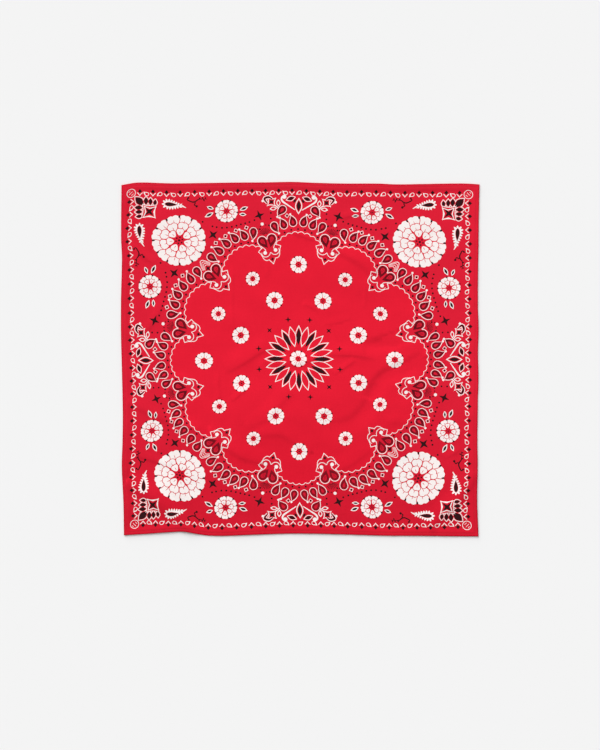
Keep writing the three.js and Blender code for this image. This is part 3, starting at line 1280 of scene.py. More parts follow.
@dataclass(frozen=True)
class ClothLay:
    """How the flat cloth comes to lie.

    A place of the flat cloth is a complex number: how far right of its middle, and how far up, in
    millimetres.
    """

    width: float = 550.0
    height: float = 543.0
    outline_steps: int = 60
    ripple_fade: float = 8.0
    contact: float = 0.12

    @property
    def halves(self) -> tuple[float, float]:
        """Half the width and half the height."""
        return self.width / 2, self.height / 2

    def spread(self, flat: Numbers) -> tuple[Numbers, Numbers]:
        """Where places come to lie, before the cloth is centred over the origin.

        Args:
            flat: Places of the flat cloth.

        Returns:
            How far right and how far up they lie.
        """
        x, y = flat.real, flat.imag
        u, v = x / self.halves[0], y / self.halves[1]
        right = EDGES[Side.RIGHT].out(y) * (1 + u) / 2
        left = EDGES[Side.LEFT].out(y) * (1 - u) / 2
        top = EDGES[Side.TOP].out(x) * (1 + v) / 2
        bottom = EDGES[Side.BOTTOM].out(x) * (1 - v) / 2
        return x + right - left, y + top - bottom

    def middle(self) -> tuple[float, float]:
        """The middle of the box round the outline, which is laid over the origin.

        Returns:
            How far right and how far up it is.
        """
        along = np.linspace(-1, 1, self.outline_steps + 1)
        wide, high = self.halves
        x = np.concatenate([along * wide, along * wide, 0 * along - wide, 0 * along + wide])
        y = np.concatenate([0 * along - high, 0 * along + high, along * high, along * high])
        x, y = self.spread(x + 1j * y)
        return (x.min() + x.max()) / 2, (y.min() + y.max()) / 2

    def inside(self, flat: Numbers) -> Numbers:
        """How far places are from the nearest edge."""
        return np.minimum(self.halves[0] - np.abs(flat.real), self.halves[1] - np.abs(flat.imag))

    def ripple(self, flat: Numbers) -> Numbers:
        """The pull of the sewing: short waves along each edge that die away inward.

        Args:
            flat: Places of the flat cloth.

        Returns:
            The height that it adds at each place.
        """
        x, y = flat.real, flat.imag
        side_shift, wave_shift = 0.31, 0.23
        total = np.zeros(x.shape)
        for off, along, sign in (
            (self.halves[1] - np.abs(y), x, np.sign(y)),
            (self.halves[0] - np.abs(x), y, 2 * np.sign(x)),
        ):
            for k, (length, rise) in enumerate(RIPPLES):
                run = along / length + side_shift * sign + wave_shift * k
                total += rise * (1 + np.sin(2 * np.pi * run)) / 2 * np.exp(-off / self.ripple_fade)
        return total

    def lift(self, flat: Numbers) -> Numbers:
        """How high the cloth's underside is off the floor.

        Args:
            flat: Places of the flat cloth.

        Returns:
            The height at each place. Where the cloth lies down it is 0, with a soft turn up from there.
        """
        total = sum(swell.at(flat) for swell in SWELLS) + sum(fold.at(flat) for fold in FOLDS)
        raised = (total + np.sqrt(total**2 + self.contact**2) - self.contact) / 2
        low = sum(wave.at(flat) for wave in WAVES)
        return np.maximum(raised, 0) + low + self.ripple(flat)

    def laid(self, flat: Numbers, above: Union[Numbers, float]) -> Numbers:
        """Points of the laid cloth in metres.

        Args:
            flat: Places of the flat cloth.
            above: How far over the cloth's underside the points are.

        Returns:
            One row of three coordinates for each place.
        """
        across, up = self.spread(flat)
        middle = self.middle()
        return np.stack([across - middle[0], up - middle[1], self.lift(flat) + above], axis=-1) * MM


def tube(rings: int, sides: int) -> list[Face]:
    """The faces of a closed tube, whose points come ring after ring.

    Args:
        rings: How many rings it has.
        sides: How many points each ring has.

    Returns:
        The sides' faces, and then one face over each end.
    """
    faces = []
    for start in range(0, (rings - 1) * sides, sides):
        for i in range(sides):
            a, b = start + i, start + (i + 1) % sides
            faces.append((a, b, b + sides, a + sides))
    last = (rings - 1) * sides
    return faces + [tuple(range(sides))[::-1], tuple(range(last, last + sides))]


def new_piece(
    name: str, points: Numbers, faces: list[Face], finishes: list[bpy.types.Material], smooth: bool = True
) -> bpy.types.Object:
    """A mesh object in the scene.

    Args:
        name: The piece's name.
        points: Its points in metres.
        faces: The points of each face.
        finishes: Its finishes.
        smooth: Whether its faces are shaded as one surface.

    Returns:
        The new object.
    """
    mesh = bpy.data.meshes.new(name)
    mesh.from_pydata(points.tolist(), [], faces)
    mesh.polygons.foreach_set("use_smooth", [smooth] * len(mesh.polygons))
    for finish in finishes:
        mesh.materials.append(finish)
    mesh.update()
    piece = bpy.data.objects.new(name, mesh)
    bpy.context.scene.collection.objects.link(piece)
    return piece


def declare(piece: bpy.types.Object, slot: str, *nodes: str) -> None:
    """Sets a piece on the part's one body, hides the solids that it stands for and logs its faces.

    Args:
        piece: The piece, which rides on the part's one body.
        slot: The name of a slot, which is not used.
        nodes: The solids that it stands for.
    """
    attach(piece, "root")
    if nodes:
        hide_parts(*nodes)
    log.info("%s: %d faces", piece.name, len(piece.data.polygons))


@dataclass(frozen=True)
class Row:
    """One row of points round the cloth: how far inside the edge, how far over the underside."""

    inside: float
    above: float


@dataclass
class PrintedCloth:
    """The cloth as a closed thin shell, its face cut along the print and its edges turned under."""

    lay: ClothLay
    wall: float = 0.30
    hem_height: float = 1.15
    hem_ends: float = 6.2
    ramp_ends: float = 14.0
    seam_at: float = 4.6
    seam_depth: float = 0.16
    seam_half: float = 0.45
    tuck: float = 1.3
    fold_steps: int = 6
    inner_steps: int = 3
    ring_steps: int = 136
    face_cell: float = 4.7
    back_cell: float = 6.2
    slack: float = 0.28
    slack_from: float = 0.8
    hem_rows: tuple[float, ...] = (1.5, 3.2, 4.1, 4.6, 5.1, 6.2, 7.2, 8.4, 10.4)
    clearance: float = 1.5
    weld: float = 0.02
    near: float = 0.01
    bake_half: float = 280.0
    # The faces over the fold take a deeper red, painted shade.
    fold_slot: int = len(Ink) + 1

    def relief(self, inside: Numbers) -> Numbers:
        """How high the face is over the underside.

        Args:
            inside: How far inside the edge the places are.

        Returns:
            The height of the hem's layers with the seam pulled into them, and farther in of one wall.
        """
        t = np.clip((inside - self.hem_ends) / (self.ramp_ends - self.hem_ends), 0, 1)
        step = self.hem_height + (self.wall - self.hem_height) * t * t * (3 - 2 * t)
        return step - self.seam_depth * np.exp(-(((inside - self.seam_at) / self.seam_half) ** 2))

    def ring(self, inside: float) -> Outline:
        """A line round the flat cloth.

        Args:
            inside: How far inside the edge it runs.

        Returns:
            Evenly spaced places on it, turning to the left from the lower left corner.
        """
        wide, high = (half - inside for half in self.lay.halves)
        ring = []
        for corner, way in (
            (complex(-wide, -high), complex(2 * wide, 0)),
            (complex(wide, -high), complex(0, 2 * high)),
            (complex(wide, high), complex(-2 * wide, 0)),
            (complex(-wide, high), complex(0, -2 * high)),
        ):
            ring += [corner + way * k / self.ring_steps for k in range(self.ring_steps)]
        return ring

    def front_rows(self) -> list[Row]:
        """The outside of the fold.

        Returns:
            The rows from the face over the fold and a little way under.
        """
        radius = self.hem_height / 2
        ways = [math.pi * k / self.fold_steps for k in range(self.fold_steps + 1)]
        rows = [Row(radius * (1 - math.sin(way)), radius * (1 + math.cos(way))) for way in ways]
        return rows + [Row(self.tuck, 0.0)]

    def back_rows(self) -> list[Row]:
        """The inside of the fold.

        Returns:
            The rows from the cut end under the edge, back through the fold and inward over the hem.
        """
        radius = self.hem_height / 2
        inner = radius - self.wall
        ways = [math.pi * k / self.inner_steps for k in range(self.inner_steps + 1)]
        rows = [Row(self.tuck, self.wall)]
        rows += [Row(radius - inner * math.sin(way), radius - inner * math.cos(way)) for way in ways]
        return rows + [
            Row(inside, float(self.relief(np.array(inside))) - self.wall) for inside in self.hem_rows[1:]
        ]

    def grid(self, half: tuple[float, float], cell: float, taken: set[tuple[int, int]]) -> Outline:
        """Places on a square grid, so that the mesh can follow the lay.

        Args:
            half: Half the width and height that the grid fills.
            cell: The distance between its lines.
            taken: The cells that need no place of the grid, because others lie in them.

        Returns:
            The places.
        """
        counts = [int(h / cell) for h in half]
        return [
            complex(i * cell, j * cell)
            for i in range(-counts[0], counts[0] + 1)
            for j in range(-counts[1], counts[1] + 1)
            if (i, j) not in taken
        ]

    def triangles(
        self, rings: list[Outline], patches: list[Outline], cell: float
    ) -> tuple[Outline, list[Face], list[list[int]], list[int]]:
        """Cuts one side of the cloth into triangles.

        Args:
            rings: Lines round the cloth that the cut keeps, the outermost first.
            patches: Outlines that the cut keeps.
            cell: The size of the grid between them.

        Returns:
            The places, the triangles, the patches that each triangle lies in, and the places of the
            outermost ring.
        """
        places: Outline = []
        lines: list[tuple[int, int]] = []
        areas: list[list[int]] = []
        for ring in rings:
            first = len(places)
            places += ring
            lines += [(first + k, first + (k + 1) % len(ring)) for k in range(len(ring))]
        for patch in patches:
            areas.append(list(range(len(places), len(places) + len(patch))))
            places += patch
        inner = (
            max(p.real for p in rings[-1]) - self.clearance, max(p.imag for p in rings[-1]) - self.clearance,
        )
        for fold in FOLDS:
            places += [p for p in fold.rows() if abs(p.real) < inner[0] and abs(p.imag) < inner[1]]
        taken = {(round(p.real / cell), round(p.imag / cell)) for p in places}
        places += self.grid(inner, cell, taken)
        vectors = [Vector((p.real, p.imag)) for p in places]
        # What the cut gives last is the patches that each triangle lies in.
        cut, _, faces, given, _, owners = delaunay_2d_cdt(vectors, lines, areas, 1, self.weld)
        found = {k: new for new, old in enumerate(given) for k in old}
        border = [found[k] for k in range(len(rings[0]))]
        return [complex(*p) for p in cut], [tuple(face) for face in faces], owners, border

    def build(self, zones: Motif, print_: Motif, finishes: list[bpy.types.Material]) -> bpy.types.Object:
        """Builds the cloth.

        Args:
            zones: Where the ground has the field's red instead of the darker red that is painted shade.
            print_: The print in a square of the cloth's width.
            finishes: The finishes of each ink, the back, and the edge's deeper red, which is painted shade
                on the fold.

        Returns:
            The cloth's object.
        """
        shrunk = self.lay.height / self.lay.width
        inks = []
        patches = []
        for number, (ink, outline) in enumerate(zones.patches + print_.patches):
            patch = [complex(p.real, p.imag * shrunk) for p in cleaned(outline)]
            if len(patch) > 2:
                inks.append((number >= len(zones.patches), ink))
                patches.append([p + sum(pull.at(p) for pull in PULLS) for p in patch])
        front = self.front_rows()
        back = self.back_rows()
        rings = [self.ring(front[0].inside)] + [self.ring(inside) for inside in self.hem_rows]
        places, faces, owners, border = self.triangles(rings, patches, self.face_cell)
        slots = [self.shown([inks[k] for k in sorted(own)]).value for own in owners]
        flat = np.array(places)
        turned = self.lay.inside(flat) < self.hem_rows[0] + self.near
        slots = [self.fold_slot if turned[list(face)].all() else slot for face, slot in zip(faces, slots)]
        points = [self.lay.laid(flat, self.relief(self.lay.inside(flat)))]
        bake = [flat]
        normals = self.normals(flat)
        log.info("face: %d triangles", len(faces))

        total = len(places)
        previous = border
        unrolled = self.unrolled(front, outward=True) + self.unrolled(back, outward=False)
        rows = front + back
        for k in range(1, len(rows) - 1):
            spot = np.array(self.ring(rows[k].inside))
            points.append(self.lay.laid(spot, rows[k].above))
            bake.append(np.array(self.ring(unrolled[k])))
            current = list(range(total, total + len(spot)))
            faces += self.strip(previous, current)
            slot = self.fold_slot if k < len(front) else len(Ink)
            slots += [slot] * len(spot)
            total += len(spot)
            previous = current

        places, under, _, border = self.triangles([self.ring(back[-1].inside)], [], self.back_cell)
        flat = np.array(places)
        room = np.clip(self.lay.lift(flat) / self.slack_from, 0, 1)
        points.append(self.lay.laid(flat, -self.slack * room))
        bake.append(flat)
        faces += self.strip(previous, [total + k for k in border])
        faces += [tuple(total + k for k in face[::-1]) for face in under]
        slots += [len(Ink)] * (len(border) + len(under))

        cloth = new_piece("printed_cloth", np.concatenate(points), faces, finishes)
        cloth.data.polygons.foreach_set("material_index", slots)
        self.map_bake(cloth.data, np.concatenate(bake), np.array(slots) == len(Ink))
        kept = np.zeros((len(cloth.data.vertices), 3))
        kept[: len(normals)] = normals
        cloth.data.normals_split_custom_set_from_vertices(kept.tolist())
        declare(cloth, "printed_cotton", "cloth_panel")
        return cloth

    def shown(self, laid: list[tuple[bool, Ink]]) -> Ink:
        """What a face shows.

        Args:
            laid: The patches over the face, from the lowest up: whether each is printed, and its ink.

        Returns:
            The topmost ink, or where that is bare ground, the red of its zone.
        """
        top = [ink for printed, ink in laid if printed][-1:]
        zone = [ink for printed, ink in laid if not printed][-1:]
        if top and top[0] is not Ink.GROUND:
            return top[0]
        return zone[0] if zone else Ink.GROUND

    def strip(self, before: list[int], after: list[int]) -> list[Face]:
        """The faces between two rows of points round the cloth."""
        count = len(before)
        return [(before[k], after[k], after[(k + 1) % count], before[(k + 1) % count]) for k in range(count)]

    def unrolled(self, rows: list[Row], outward: bool) -> list[float]:
        """Lays the fold out flat.

        Args:
            rows: The rows over the fold.
            outward: Whether they start on the flat side of the fold.

        Returns:
            How far inside the edge each row comes, under 0 past it.
        """
        ordered = rows if outward else rows[::-1]
        flat = [ordered[0].inside]
        for a, b in zip(ordered, ordered[1:]):
            flat.append(flat[-1] - math.hypot(b.inside - a.inside, b.above - a.above))
        return flat if outward else flat[::-1]

    def normals(self, flat: Numbers, reach: float = 0.25) -> Numbers:
        """The directions that the face has, from the heights beside each place.

        Args:
            flat: Places of the flat cloth.
            reach: How far to each side the heights are taken.

        Returns:
            One unit vector for each place.
        """

        def height(place: Numbers) -> Numbers:
            """How high the face is."""
            return self.lay.lift(place) + self.relief(self.lay.inside(place))

        along = (height(flat + reach) - height(flat - reach)) / (2 * reach)
        up = (height(flat + 1j * reach) - height(flat - 1j * reach)) / (2 * reach)
        normals = np.stack([-along, -up, np.ones(flat.shape)], axis=-1)
        return normals / np.linalg.norm(normals, axis=1, keepdims=True)

    def map_bake(self, mesh: bpy.types.Mesh, flat: Numbers, under: Numbers) -> None:
        """Lays the faces out as the flat cloth for baking, those of the back mirrored.

        Args:
            mesh: The cloth's mesh.
            flat: Where each point is on the flat cloth.
            under: Whether each face is on the back.
        """
        corners = np.empty(len(mesh.loops), dtype=np.int32)
        mesh.loops.foreach_get("vertex_index", corners)
        counts = np.empty(len(mesh.polygons), dtype=np.int32)
        mesh.polygons.foreach_get("loop_total", counts)
        mirror = np.where(np.repeat(under, counts), -1, 1)
        place = flat[corners]
        spread = np.stack([place.real * mirror, place.imag], axis=-1) / (2 * self.bake_half) + 0.5
        mesh.uv_layers.new(name="OFBake").data.foreach_set("uv", spread.ravel())


@dataclass
class RolledHem:
    """The turned-under edge along one side: two more layers under the cloth, folded at the inner edge.

    Each place of the section is (inside, above), from the raw edge under the fold, along the
    underside, round the inner fold and back along the top. The inner fold wanders in two waves, each
    (how far, over what length).
    """

    lay: ClothLay
    side: Side
    width: float = 6.0
    held: float = 4.6
    holding: float = 1.4
    wanders: tuple[tuple[float, float], ...] = ((0.16, 9.1), (0.1, 4.3))
    gap: float = 0.3
    start: float = 1.6
    steps: int = 140
    section: tuple[tuple[float, float], ...] = (
        (1.6, 0.05), (3.0, 0.02), (4.1, 0.03), (4.6, 0.32), (5.1, 0.03), (5.6, 0.0), (5.9, 0.09),
        (6.0, 0.22), (5.86, 0.37), (6.0, 0.52), (5.9, 0.66), (5.6, 0.74), (5.1, 0.73), (4.6, 0.55),
        (4.1, 0.73), (3.0, 0.76), (1.6, 0.74),
    )

    @property
    def mirrored(self) -> bool:
        """Whether the ways along, inward and up are a left-handed frame on this side."""
        return sum(self.side.value) == (-1 if self.side.upright else 1)

    def facing_out(self, faces: list[Face]) -> list[Face]:
        """Faces of this side's pieces, turned so that they face outward."""
        return [face[::-1] for face in faces] if self.mirrored else faces

    def spot(self, along: Numbers, inside: Union[Numbers, float]) -> Numbers:
        """Turns places along a side into places on the flat cloth.

        Args:
            along: How far right of, or up from, the side's middle they are.
            inside: How far inward from its edge.

        Returns:
            The places.
        """
        wide, high = self.lay.halves
        if self.side.upright:
            return self.side.value[0] * (wide - inside) + 1j * along
        return along + 1j * (self.side.value[1] * (high - inside))

    def build(self, finish: bpy.types.Material) -> bpy.types.Object:
        """Builds the hem. The upper and lower ones run the whole width, and the others fit between.

        Args:
            finish: The hem's finish.

        Returns:
            The hem's object.
        """
        wide, high = self.lay.halves
        reach = high - self.width - self.gap if self.side.upright else wide - self.start
        along = np.linspace(-reach, reach, self.steps + 1)
        (sway, long), (waver, short) = self.wanders
        rings = []
        for inside, above in self.section:
            wander = sway * np.sin(along / long + inside) + waver * np.sin(along / short)
            # The seam holds the layers outside it, so only the fold wanders.
            grip = np.clip((inside - self.held) / self.holding, 0, 1)
            rings.append(self.lay.laid(self.spot(along, inside + wander * grip), above))
        points = np.stack(rings, axis=1).reshape(-1, 3)
        faces = self.facing_out(tube(self.steps + 1, len(self.section)))
        side = self.side.name.lower()
        hem = new_piece(f"rolled_hem_{side}", points, faces, [finish])
        declare(hem, "hem_cotton", f"hem_{side}")
        return hem


@dataclass
class Stitching:
    """The row of stitches that holds one hem, on the face and again on the back.

    Their pitch and their line are uneven in two waves each, (how far, radians from stitch to stitch).
    """

    cloth: PrintedCloth
    hem: RolledHem
    pitch: float = 2.5
    length: float = 2.15
    radius: float = 0.17
    arch: float = 0.1
    face_above: float = 0.04
    back_above: float = 0.24
    back_arch: float = -0.6
    sides: int = 6
    first: float = 6.0
    pitch_waves: tuple[tuple[float, float], ...] = ((0.12, 1.7), (0.08, 4.1))
    line_waves: tuple[tuple[float, float], ...] = ((0.14, 0.13), (0.05, 2.3))
    profile: tuple[tuple[float, float], ...] = (
        (0.0, 0.35), (0.1, 0.8), (0.32, 1.0), (0.68, 1.0), (0.9, 0.8), (1.0, 0.35),
    )

    def row(self, above: float, sign: float) -> tuple[Numbers, list[Face]]:
        """One row of stitches.

        Args:
            above: How far the thread's ends are over the cloth's underside.
            sign: How much of the arch a stitch bows up, under 0 on the back, where it bows down.

        Returns:
            The points and the faces.
        """
        wide, high = self.hem.lay.halves
        reach = (high if self.hem.side.upright else wide) - self.first
        count = int(2 * reach / self.pitch)
        number = np.arange(count)
        (much, slow), (less, fast) = self.pitch_waves
        unsteady = much * np.sin(number * slow) + less * np.sin(number * fast + 1)
        middle = (number - (count - 1) / 2) * self.pitch + unsteady
        drift = sum(far * np.sin(number * step) for far, step in self.line_waves)
        rings = []
        for share, thick in self.profile:
            along = middle + (share - 0.5) * (self.length + 0.5 * unsteady)
            up = above + sign * self.arch * math.sin(math.pi * share)
            for k in range(self.sides):
                way = 2 * math.pi * k / self.sides
                inside = self.cloth.seam_at + drift + self.radius * thick * math.cos(way)
                higher = up + self.radius * thick * math.sin(way)
                rings.append(self.hem.lay.laid(self.hem.spot(along, inside), higher))
        points = np.stack(rings, axis=1).reshape(-1, 3)
        pattern = tube(len(self.profile), self.sides)
        starts = range(0, len(points), len(rings))
        return points, [tuple(start + k for k in face) for start in starts for face in pattern]

    def build(self, finish: bpy.types.Material) -> bpy.types.Object:
        """Builds both rows as one piece.

        Args:
            finish: The thread's finish.

        Returns:
            The stitches' object.
        """
        seam = float(self.cloth.relief(np.array(self.cloth.seam_at)))
        face_points, faces = self.row(seam + self.face_above, 1.0)
        back_points, back = self.row(self.back_above, self.back_arch)
        start = len(face_points)
        faces = self.hem.facing_out(faces + [tuple(start + k for k in face) for face in back])
        points = np.concatenate([face_points, back_points])
        thread = new_piece(f"stitching_{self.hem.side.name.lower()}", points, faces, [finish])
        declare(thread, "hem_cotton")
        return thread


class Wire:
    """A socket of a finish's nodes that takes part in Python expressions."""

    def __init__(self, board: "Board", socket: bpy.types.NodeSocket) -> None:
        """Keeps the socket and the nodes it belongs to."""
        self.board = board
        self.socket = socket

    def __add__(self, other: "Term") -> "Wire":
        """The sum."""
        return self.board.math("ADD", self, other)

    def __sub__(self, other: "Term") -> "Wire":
        """The difference."""
        return self.board.math("SUBTRACT", self, other)

    def __rsub__(self, other: "Term") -> "Wire":
        """The difference from a number."""
        return self.board.math("SUBTRACT", other, self)

    def __mul__(self, other: "Term") -> "Wire":
        """The product."""
        return self.board.math("MULTIPLY", self, other)

    def __mod__(self, other: "Term") -> "Wire":
        """What is left of a division."""
        return self.board.math("FLOORED_MODULO", self, other)

    def __abs__(self) -> "Wire":
        """The size without its sign."""
        return self.board.math("ABSOLUTE", self)

    __radd__ = __add__
    __rmul__ = __mul__


Term = Union[Wire, float]


class Board:
    """The nodes of one finish."""

    def __init__(self, name: str) -> None:
        """Starts a finish with no nodes.

        Args:
            name: The finish's name.
        """
        self.material = bpy.data.materials.new(name)
        self.material.use_nodes = True
        self.tree = self.material.node_tree
        self.tree.nodes.clear()

    def add(
        self, kind: str, settings: dict[str, object], inputs: dict[Union[str, int], object]
    ) -> bpy.types.Node:
        """Adds any node.

        Args:
            kind: The node's type.
            settings: What is set on the node itself, which comes first.
            inputs: The value or the wire of each of its sockets.

        Returns:
            The new node.
        """
        node = self.tree.nodes.new(kind)
        for name, value in settings.items():
            setattr(node, name, value)
        for name, value in inputs.items():
            if isinstance(value, Wire):
                self.tree.links.new(value.socket, node.inputs[name])
            else:
                node.inputs[name].default_value = value
        return node

    def place(self) -> Wire:
        """Where on the piece a point is, in metres."""
        return Wire(self, self.add("ShaderNodeTexCoord", {}, {}).outputs["Object"])

    def surface(self, inputs: dict[str, object]) -> bpy.types.Material:
        """Ends the finish with its shader.

        Args:
            inputs: The value or the wire of each of the shader's sockets.

        Returns:
            The finish.
        """
        shader = self.add("ShaderNodeBsdfPrincipled", {}, inputs)
        self.add("ShaderNodeOutputMaterial", {}, {"Surface": Wire(self, shader.outputs[0])})
        return self.material

    def bump(self, height: Wire, distance: float, strength: float = 1.0) -> Wire:
        """The normal of a finely raised surface."""
        inputs = {"Strength": strength, "Distance": distance, "Height": height}
        return Wire(self, self.add("ShaderNodeBump", {}, inputs).outputs[0])

    def math(self, operation: str, *terms: Term) -> Wire:
        """A step of arithmetic on values."""
        node = self.add("ShaderNodeMath", {"operation": operation}, dict(enumerate(terms)))
        return Wire(self, node.outputs[0])

    def blend(self, share: Term, first: object, second: object) -> Wire:
        """A colour between two others."""
        node = self.add("ShaderNodeMix", {"data_type": "RGBA"}, {0: share, 6: first, 7: second})
        return Wire(self, node.outputs[2])

    def noise(self, place: Wire, stretch: tuple[float, float, float], detail: float = 2.0) -> Wire:
        """Soft random values from 0 to 1, at a scale of its own along each axis.

        Args:
            place: Where on the piece.
            stretch: How many spots to a metre there are along each axis.
            detail: How many finer layers are laid over the first.

        Returns:
            The value.
        """
        scaled = self.add("ShaderNodeVectorMath", {"operation": "MULTIPLY"}, {0: place, 1: stretch})
        inputs = {"Vector": Wire(self, scaled.outputs[0]), "Scale": 1.0, "Detail": detail}
        return Wire(self, self.add("ShaderNodeTexNoise", {}, inputs).outputs[0])


def dye(red: int, green: int, blue: int) -> tuple[float, float, float, float]:
    """A colour as it shows, turned into the shader's own values.

    Args:
        red: Its red part, from 0 to 255.
        green: Its green part.
        blue: Its blue part.

    Returns:
        The three parts from 0 to 1, and 1 for a colour that covers.
    """

    def linear(value: int) -> float:
        """One part of the colour."""
        share = value / 255
        return share / 12.92 if share <= 0.04045 else ((share + 0.055) / 1.055) ** 2.4

    return linear(red), linear(green), linear(blue), 1.0


@dataclass(frozen=True)
class Cotton:
    """Plain-woven cotton: threads over and under, some thicker than others, dyed or printed.

    Its colour darkens toward the lower edge of the cloth as painted shade, for light that falls off there.
    Scales and threads are counts to a metre, across and along a thread where there are two, and the depths
    of the relief are millimetres.
    """

    name: str
    colour: tuple[float, float, float, float]
    deep: tuple[float, float, float, float]
    uneven: float = 0.5
    mottle: float = 0.5
    base_depth: float = 0.22
    # Painted shade: how much darker the colour grows toward the lower edge, between two heights in metres.
    lower: float = 0.4
    painted_shade_from: float = -0.02
    painted_shade_to: float = -0.25
    slub_shade: float = 0.8
    patch_shade: float = 0.5
    grain_shade: float = 0.35
    threads: float = 2300.0
    thread_wander: float = 0.35
    dip: float = 0.45
    slub_scale: tuple[float, float] = (900.0, 55.0)
    patch_scale: float = 24.0
    grain_scale: float = 1500.0
    mottle_scale: float = 420.0
    weave_depth: float = 0.05
    slub_depth: float = 0.10
    roughness: float = 0.86
    slub_roughness: float = 0.12
    gloss: float = 0.08
    sheen: float = 0.03
    sheen_roughness: float = 0.5

    def make(self) -> bpy.types.Material:
        """Builds the finish.

        Returns:
            The material.
        """
        board = Board(self.name)
        place = board.place()
        fine, coarse = self.slub_scale
        along = board.noise(place, (fine, coarse, fine))
        across = board.noise(place, (coarse, fine, fine))
        patches = board.noise(place, (self.patch_scale,) * 3, 3.0)
        grain = board.noise(place, (self.grain_scale,) * 3, 1.0)
        mottle = board.noise(place, (self.mottle_scale,) * 3, 2.0)
        slub = (along + across) * 0.5
        split = board.add("ShaderNodeSeparateXYZ", {}, {0: place})
        wander = grain * self.thread_wander
        x = Wire(board, split.outputs[0]) * self.threads + wander
        y = Wire(board, split.outputs[1]) * self.threads + wander
        warp = abs(board.math("SINE", x * math.pi))
        weft = abs(board.math("SINE", y * math.pi))
        over = (board.math("FLOOR", x) + board.math("FLOOR", y)) % 2.0
        level = 1 - self.dip
        weave = warp * (level + self.dip * weft) * over + weft * (level + self.dip * warp) * (1 - over)
        shade = (slub - 0.5) * self.slub_shade + (patches - 0.5) * self.patch_shade
        shade = shade + (grain - 0.5) * self.grain_shade + (mottle - 0.5) * self.mottle
        up = Wire(board, split.outputs[1])
        # Painted shade: the colour darkens toward the lower edge of the cloth.
        limits = {"Value": up, "From Min": self.painted_shade_from, "From Max": self.painted_shade_to}
        low = board.add("ShaderNodeMapRange", {"interpolation_type": "SMOOTHSTEP"}, limits)
        depth = Wire(board, low.outputs[0]) * self.lower + self.base_depth
        colour = board.blend(depth - shade * self.uneven, self.colour, self.deep)
        height = weave * self.weave_depth + slub * self.slub_depth
        return board.surface({
            "Base Color": colour,
            "Roughness": self.roughness + (slub - 0.5) * self.slub_roughness,
            "Normal": board.bump(height, MM),
            "Specular IOR Level": self.gloss,
            "Sheen Weight": self.sheen,
            "Sheen Roughness": self.sheen_roughness,
        })


# The ground's red is darker than the field's: painted shade for light that falls off toward the edges.
GROUND_PAINTED_SHADE_FINISH = Cotton("red_ground_painted_shade", dye(227, 30, 55), dye(200, 14, 38))
FIELD_FINISH = Cotton("red_field", dye(237, 28, 53), dye(208, 12, 38), mottle=0.35)
WHITE_FINISH = Cotton("white_ink", dye(251, 246, 244), dye(242, 218, 213), uneven=0.4, lower=0.0, sheen=0.0)
BLACK_FINISH = Cotton("black_ink", dye(42, 20, 22), dye(66, 18, 25), uneven=0.6, lower=0.0, sheen=0.0)
HATCH_FINISH = Cotton("hatched_ink", dye(96, 12, 24), dye(150, 16, 32), uneven=1.1, mottle=1.4, sheen=0.0)
BACK_FINISH = Cotton("red_back", dye(226, 48, 66), dye(200, 28, 48))
HEM_FINISH = Cotton("red_hem", dye(218, 24, 48), dye(190, 12, 36))
# Painted shade: a deeper red over the fold where the edge turns under.
EDGE_PAINTED_SHADE_FINISH = Cotton("red_edge_painted_shade", dye(202, 12, 38), dye(176, 6, 30))


@dataclass(frozen=True)
class Thread:
    """Sewing thread, two plies twisted together."""

    name: str = "red_thread"
    colour: tuple[float, float, float, float] = dye(206, 22, 46)
    # The deeper red is painted shade in the grooves between the plies, and random fuzz.
    deep: tuple[float, float, float, float] = dye(150, 10, 30)
    twist: float = 5200.0
    fuzz_scale: float = 4000.0
    groove_painted_shade: float = 0.5
    fuzz_shade: float = 0.3
    roughness: float = 0.55
    fuzz_roughness: float = 0.2
    ply_depth: float = 0.06
    relief: float = 0.6
    sheen: float = 0.1

    def make(self) -> bpy.types.Material:
        """Builds the finish.

        Returns:
            The material.
        """
        board = Board(self.name)
        place = board.place()
        split = board.add("ShaderNodeSeparateXYZ", {}, {0: place})
        run = (Wire(board, split.outputs[0]) + Wire(board, split.outputs[1])) * self.twist
        ply = abs(board.math("SINE", run))
        fuzz = board.noise(place, (self.fuzz_scale,) * 3)
        # Painted shade in the grooves between the plies, together with random fuzz.
        shade = (1 - ply) * self.groove_painted_shade + fuzz * self.fuzz_shade
        colour = board.blend(shade, self.colour, self.deep)
        return board.surface({
            "Base Color": colour,
            "Roughness": self.roughness + fuzz * self.fuzz_roughness,
            "Normal": board.bump(ply, self.ply_depth * MM, self.relief),
            "Sheen Weight": self.sheen,
        })


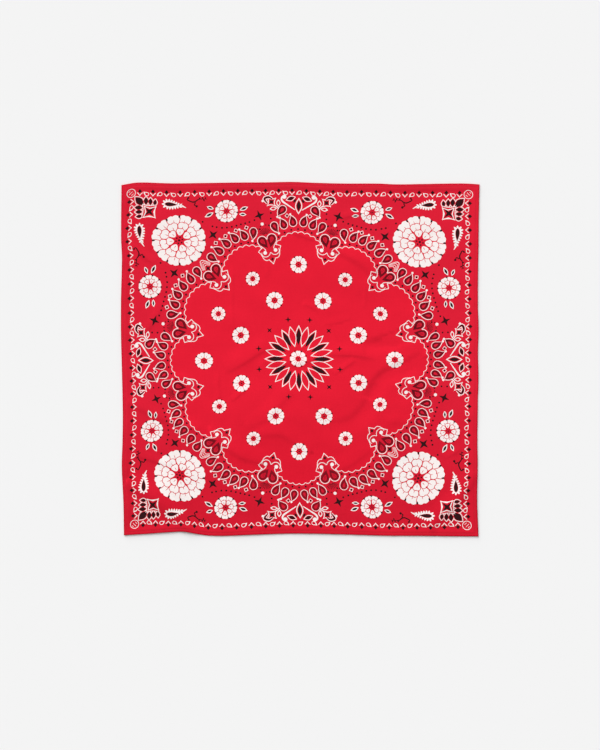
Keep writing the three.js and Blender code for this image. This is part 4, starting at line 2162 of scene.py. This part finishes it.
@dataclass(frozen=True)
class Studio:
    """The pale floor, the soft light and the camera that looks straight down."""

    lay: ClothLay
    photo_height: int = 750
    photo_middle: tuple[float, float] = (300.0, 375.0)
    cloth_middle: tuple[float, float] = (300.05, 359.0)
    mm_per_pixel: float = 1.545
    camera_height: float = 3.0
    sensor: float = 36.0
    floor_half: float = 6.0
    floor_drop: float = 0.0003
    floor_white: float = 0.9
    floor_deep: float = 0.996
    floor_mottle: float = 3.0
    floor_roughness: float = 0.9
    sky: float = 0.45
    sun: float = 3.50
    sun_width: float = 58.0
    sun_height: float = 30.0
    sun_from: float = 115.0

    def floor(self) -> None:
        """A wide level floor just under the cloth."""
        half = self.floor_half
        corners = np.array([(-half, -half, 0), (half, -half, 0), (half, half, 0), (-half, half, 0)])
        board = Board("pale_floor")
        mottle = board.noise(board.place(), (self.floor_mottle,) * 3)
        whites = (self.floor_white, self.floor_white * self.floor_deep)
        colour = board.blend(mottle, *((white, white, white, 1) for white in whites))
        finish = board.surface({
            "Base Color": colour,
            "Roughness": self.floor_roughness,
            "Specular IOR Level": 0.0,
        })
        points = corners - (0, 0, self.floor_drop)
        new_piece("studio_floor", points, [(0, 1, 2, 3)], [finish], smooth=False)

    def light(self) -> None:
        """Even light from all round, and a large soft lamp from the upper left of the picture."""
        world = bpy.data.worlds.new("studio_light")
        bpy.context.scene.world = world
        world.use_nodes = True
        background = world.node_tree.nodes["Background"]
        background.inputs["Color"].default_value = (1.0, 1.0, 1.0, 1.0)
        background.inputs["Strength"].default_value = self.sky
        lamp = bpy.data.lights.new("soft_lamp", "SUN")
        lamp.energy = self.sun
        lamp.angle = math.radians(self.sun_width)
        holder = bpy.data.objects.new("soft_lamp", lamp)
        bpy.context.scene.collection.objects.link(holder)
        level = polar(math.cos(math.radians(self.sun_height)), self.sun_from)
        towards = Vector((level.real, level.imag, math.sin(math.radians(self.sun_height))))
        holder.rotation_euler = towards.to_track_quat("Z", "Y").to_euler()

    def camera(self) -> None:
        """A camera over the middle of the picture, framed as the photograph is."""
        data = bpy.data.cameras.new("camera")
        data.sensor_width = self.sensor
        data.lens = self.camera_height * self.sensor / (self.photo_height * self.mm_per_pixel * MM)
        camera = bpy.data.objects.new("camera", data)
        bpy.context.scene.collection.objects.link(camera)
        middle = self.lay.middle()
        x = (self.photo_middle[0] - self.cloth_middle[0]) * self.mm_per_pixel - middle[0]
        y = (self.cloth_middle[1] - self.photo_middle[1]) * self.mm_per_pixel - middle[1]
        camera.location = (x * MM, y * MM, self.camera_height)
        bpy.context.scene.camera = camera

    def build(self) -> None:
        """Sets up the whole studio."""
        self.floor()
        self.light()
        self.camera()
        bpy.context.scene.view_settings.view_transform = "Standard"


def main() -> None:
    """Builds the bandana and its studio."""
    logging.basicConfig(level=logging.INFO, format="%(name)s: %(message)s")
    lay = ClothLay()
    Studio(lay).build()
    inks = (GROUND_PAINTED_SHADE_FINISH, WHITE_FINISH, BLACK_FINISH, FIELD_FINISH, HATCH_FINISH)
    finishes = [finish.make() for finish in inks + (BACK_FINISH, EDGE_PAINTED_SHADE_FINISH)]
    hem_finish = HEM_FINISH.make()
    thread_finish = Thread().make()
    cloth = PrintedCloth(lay)
    panel = cloth.build(Print().zones(), Print().build(), finishes)
    for side in Side:
        hem = RolledHem(lay, side)
        hem.build(hem_finish)
        Stitching(cloth, hem).build(thread_finish)


if __name__ == "__main__":
    main()
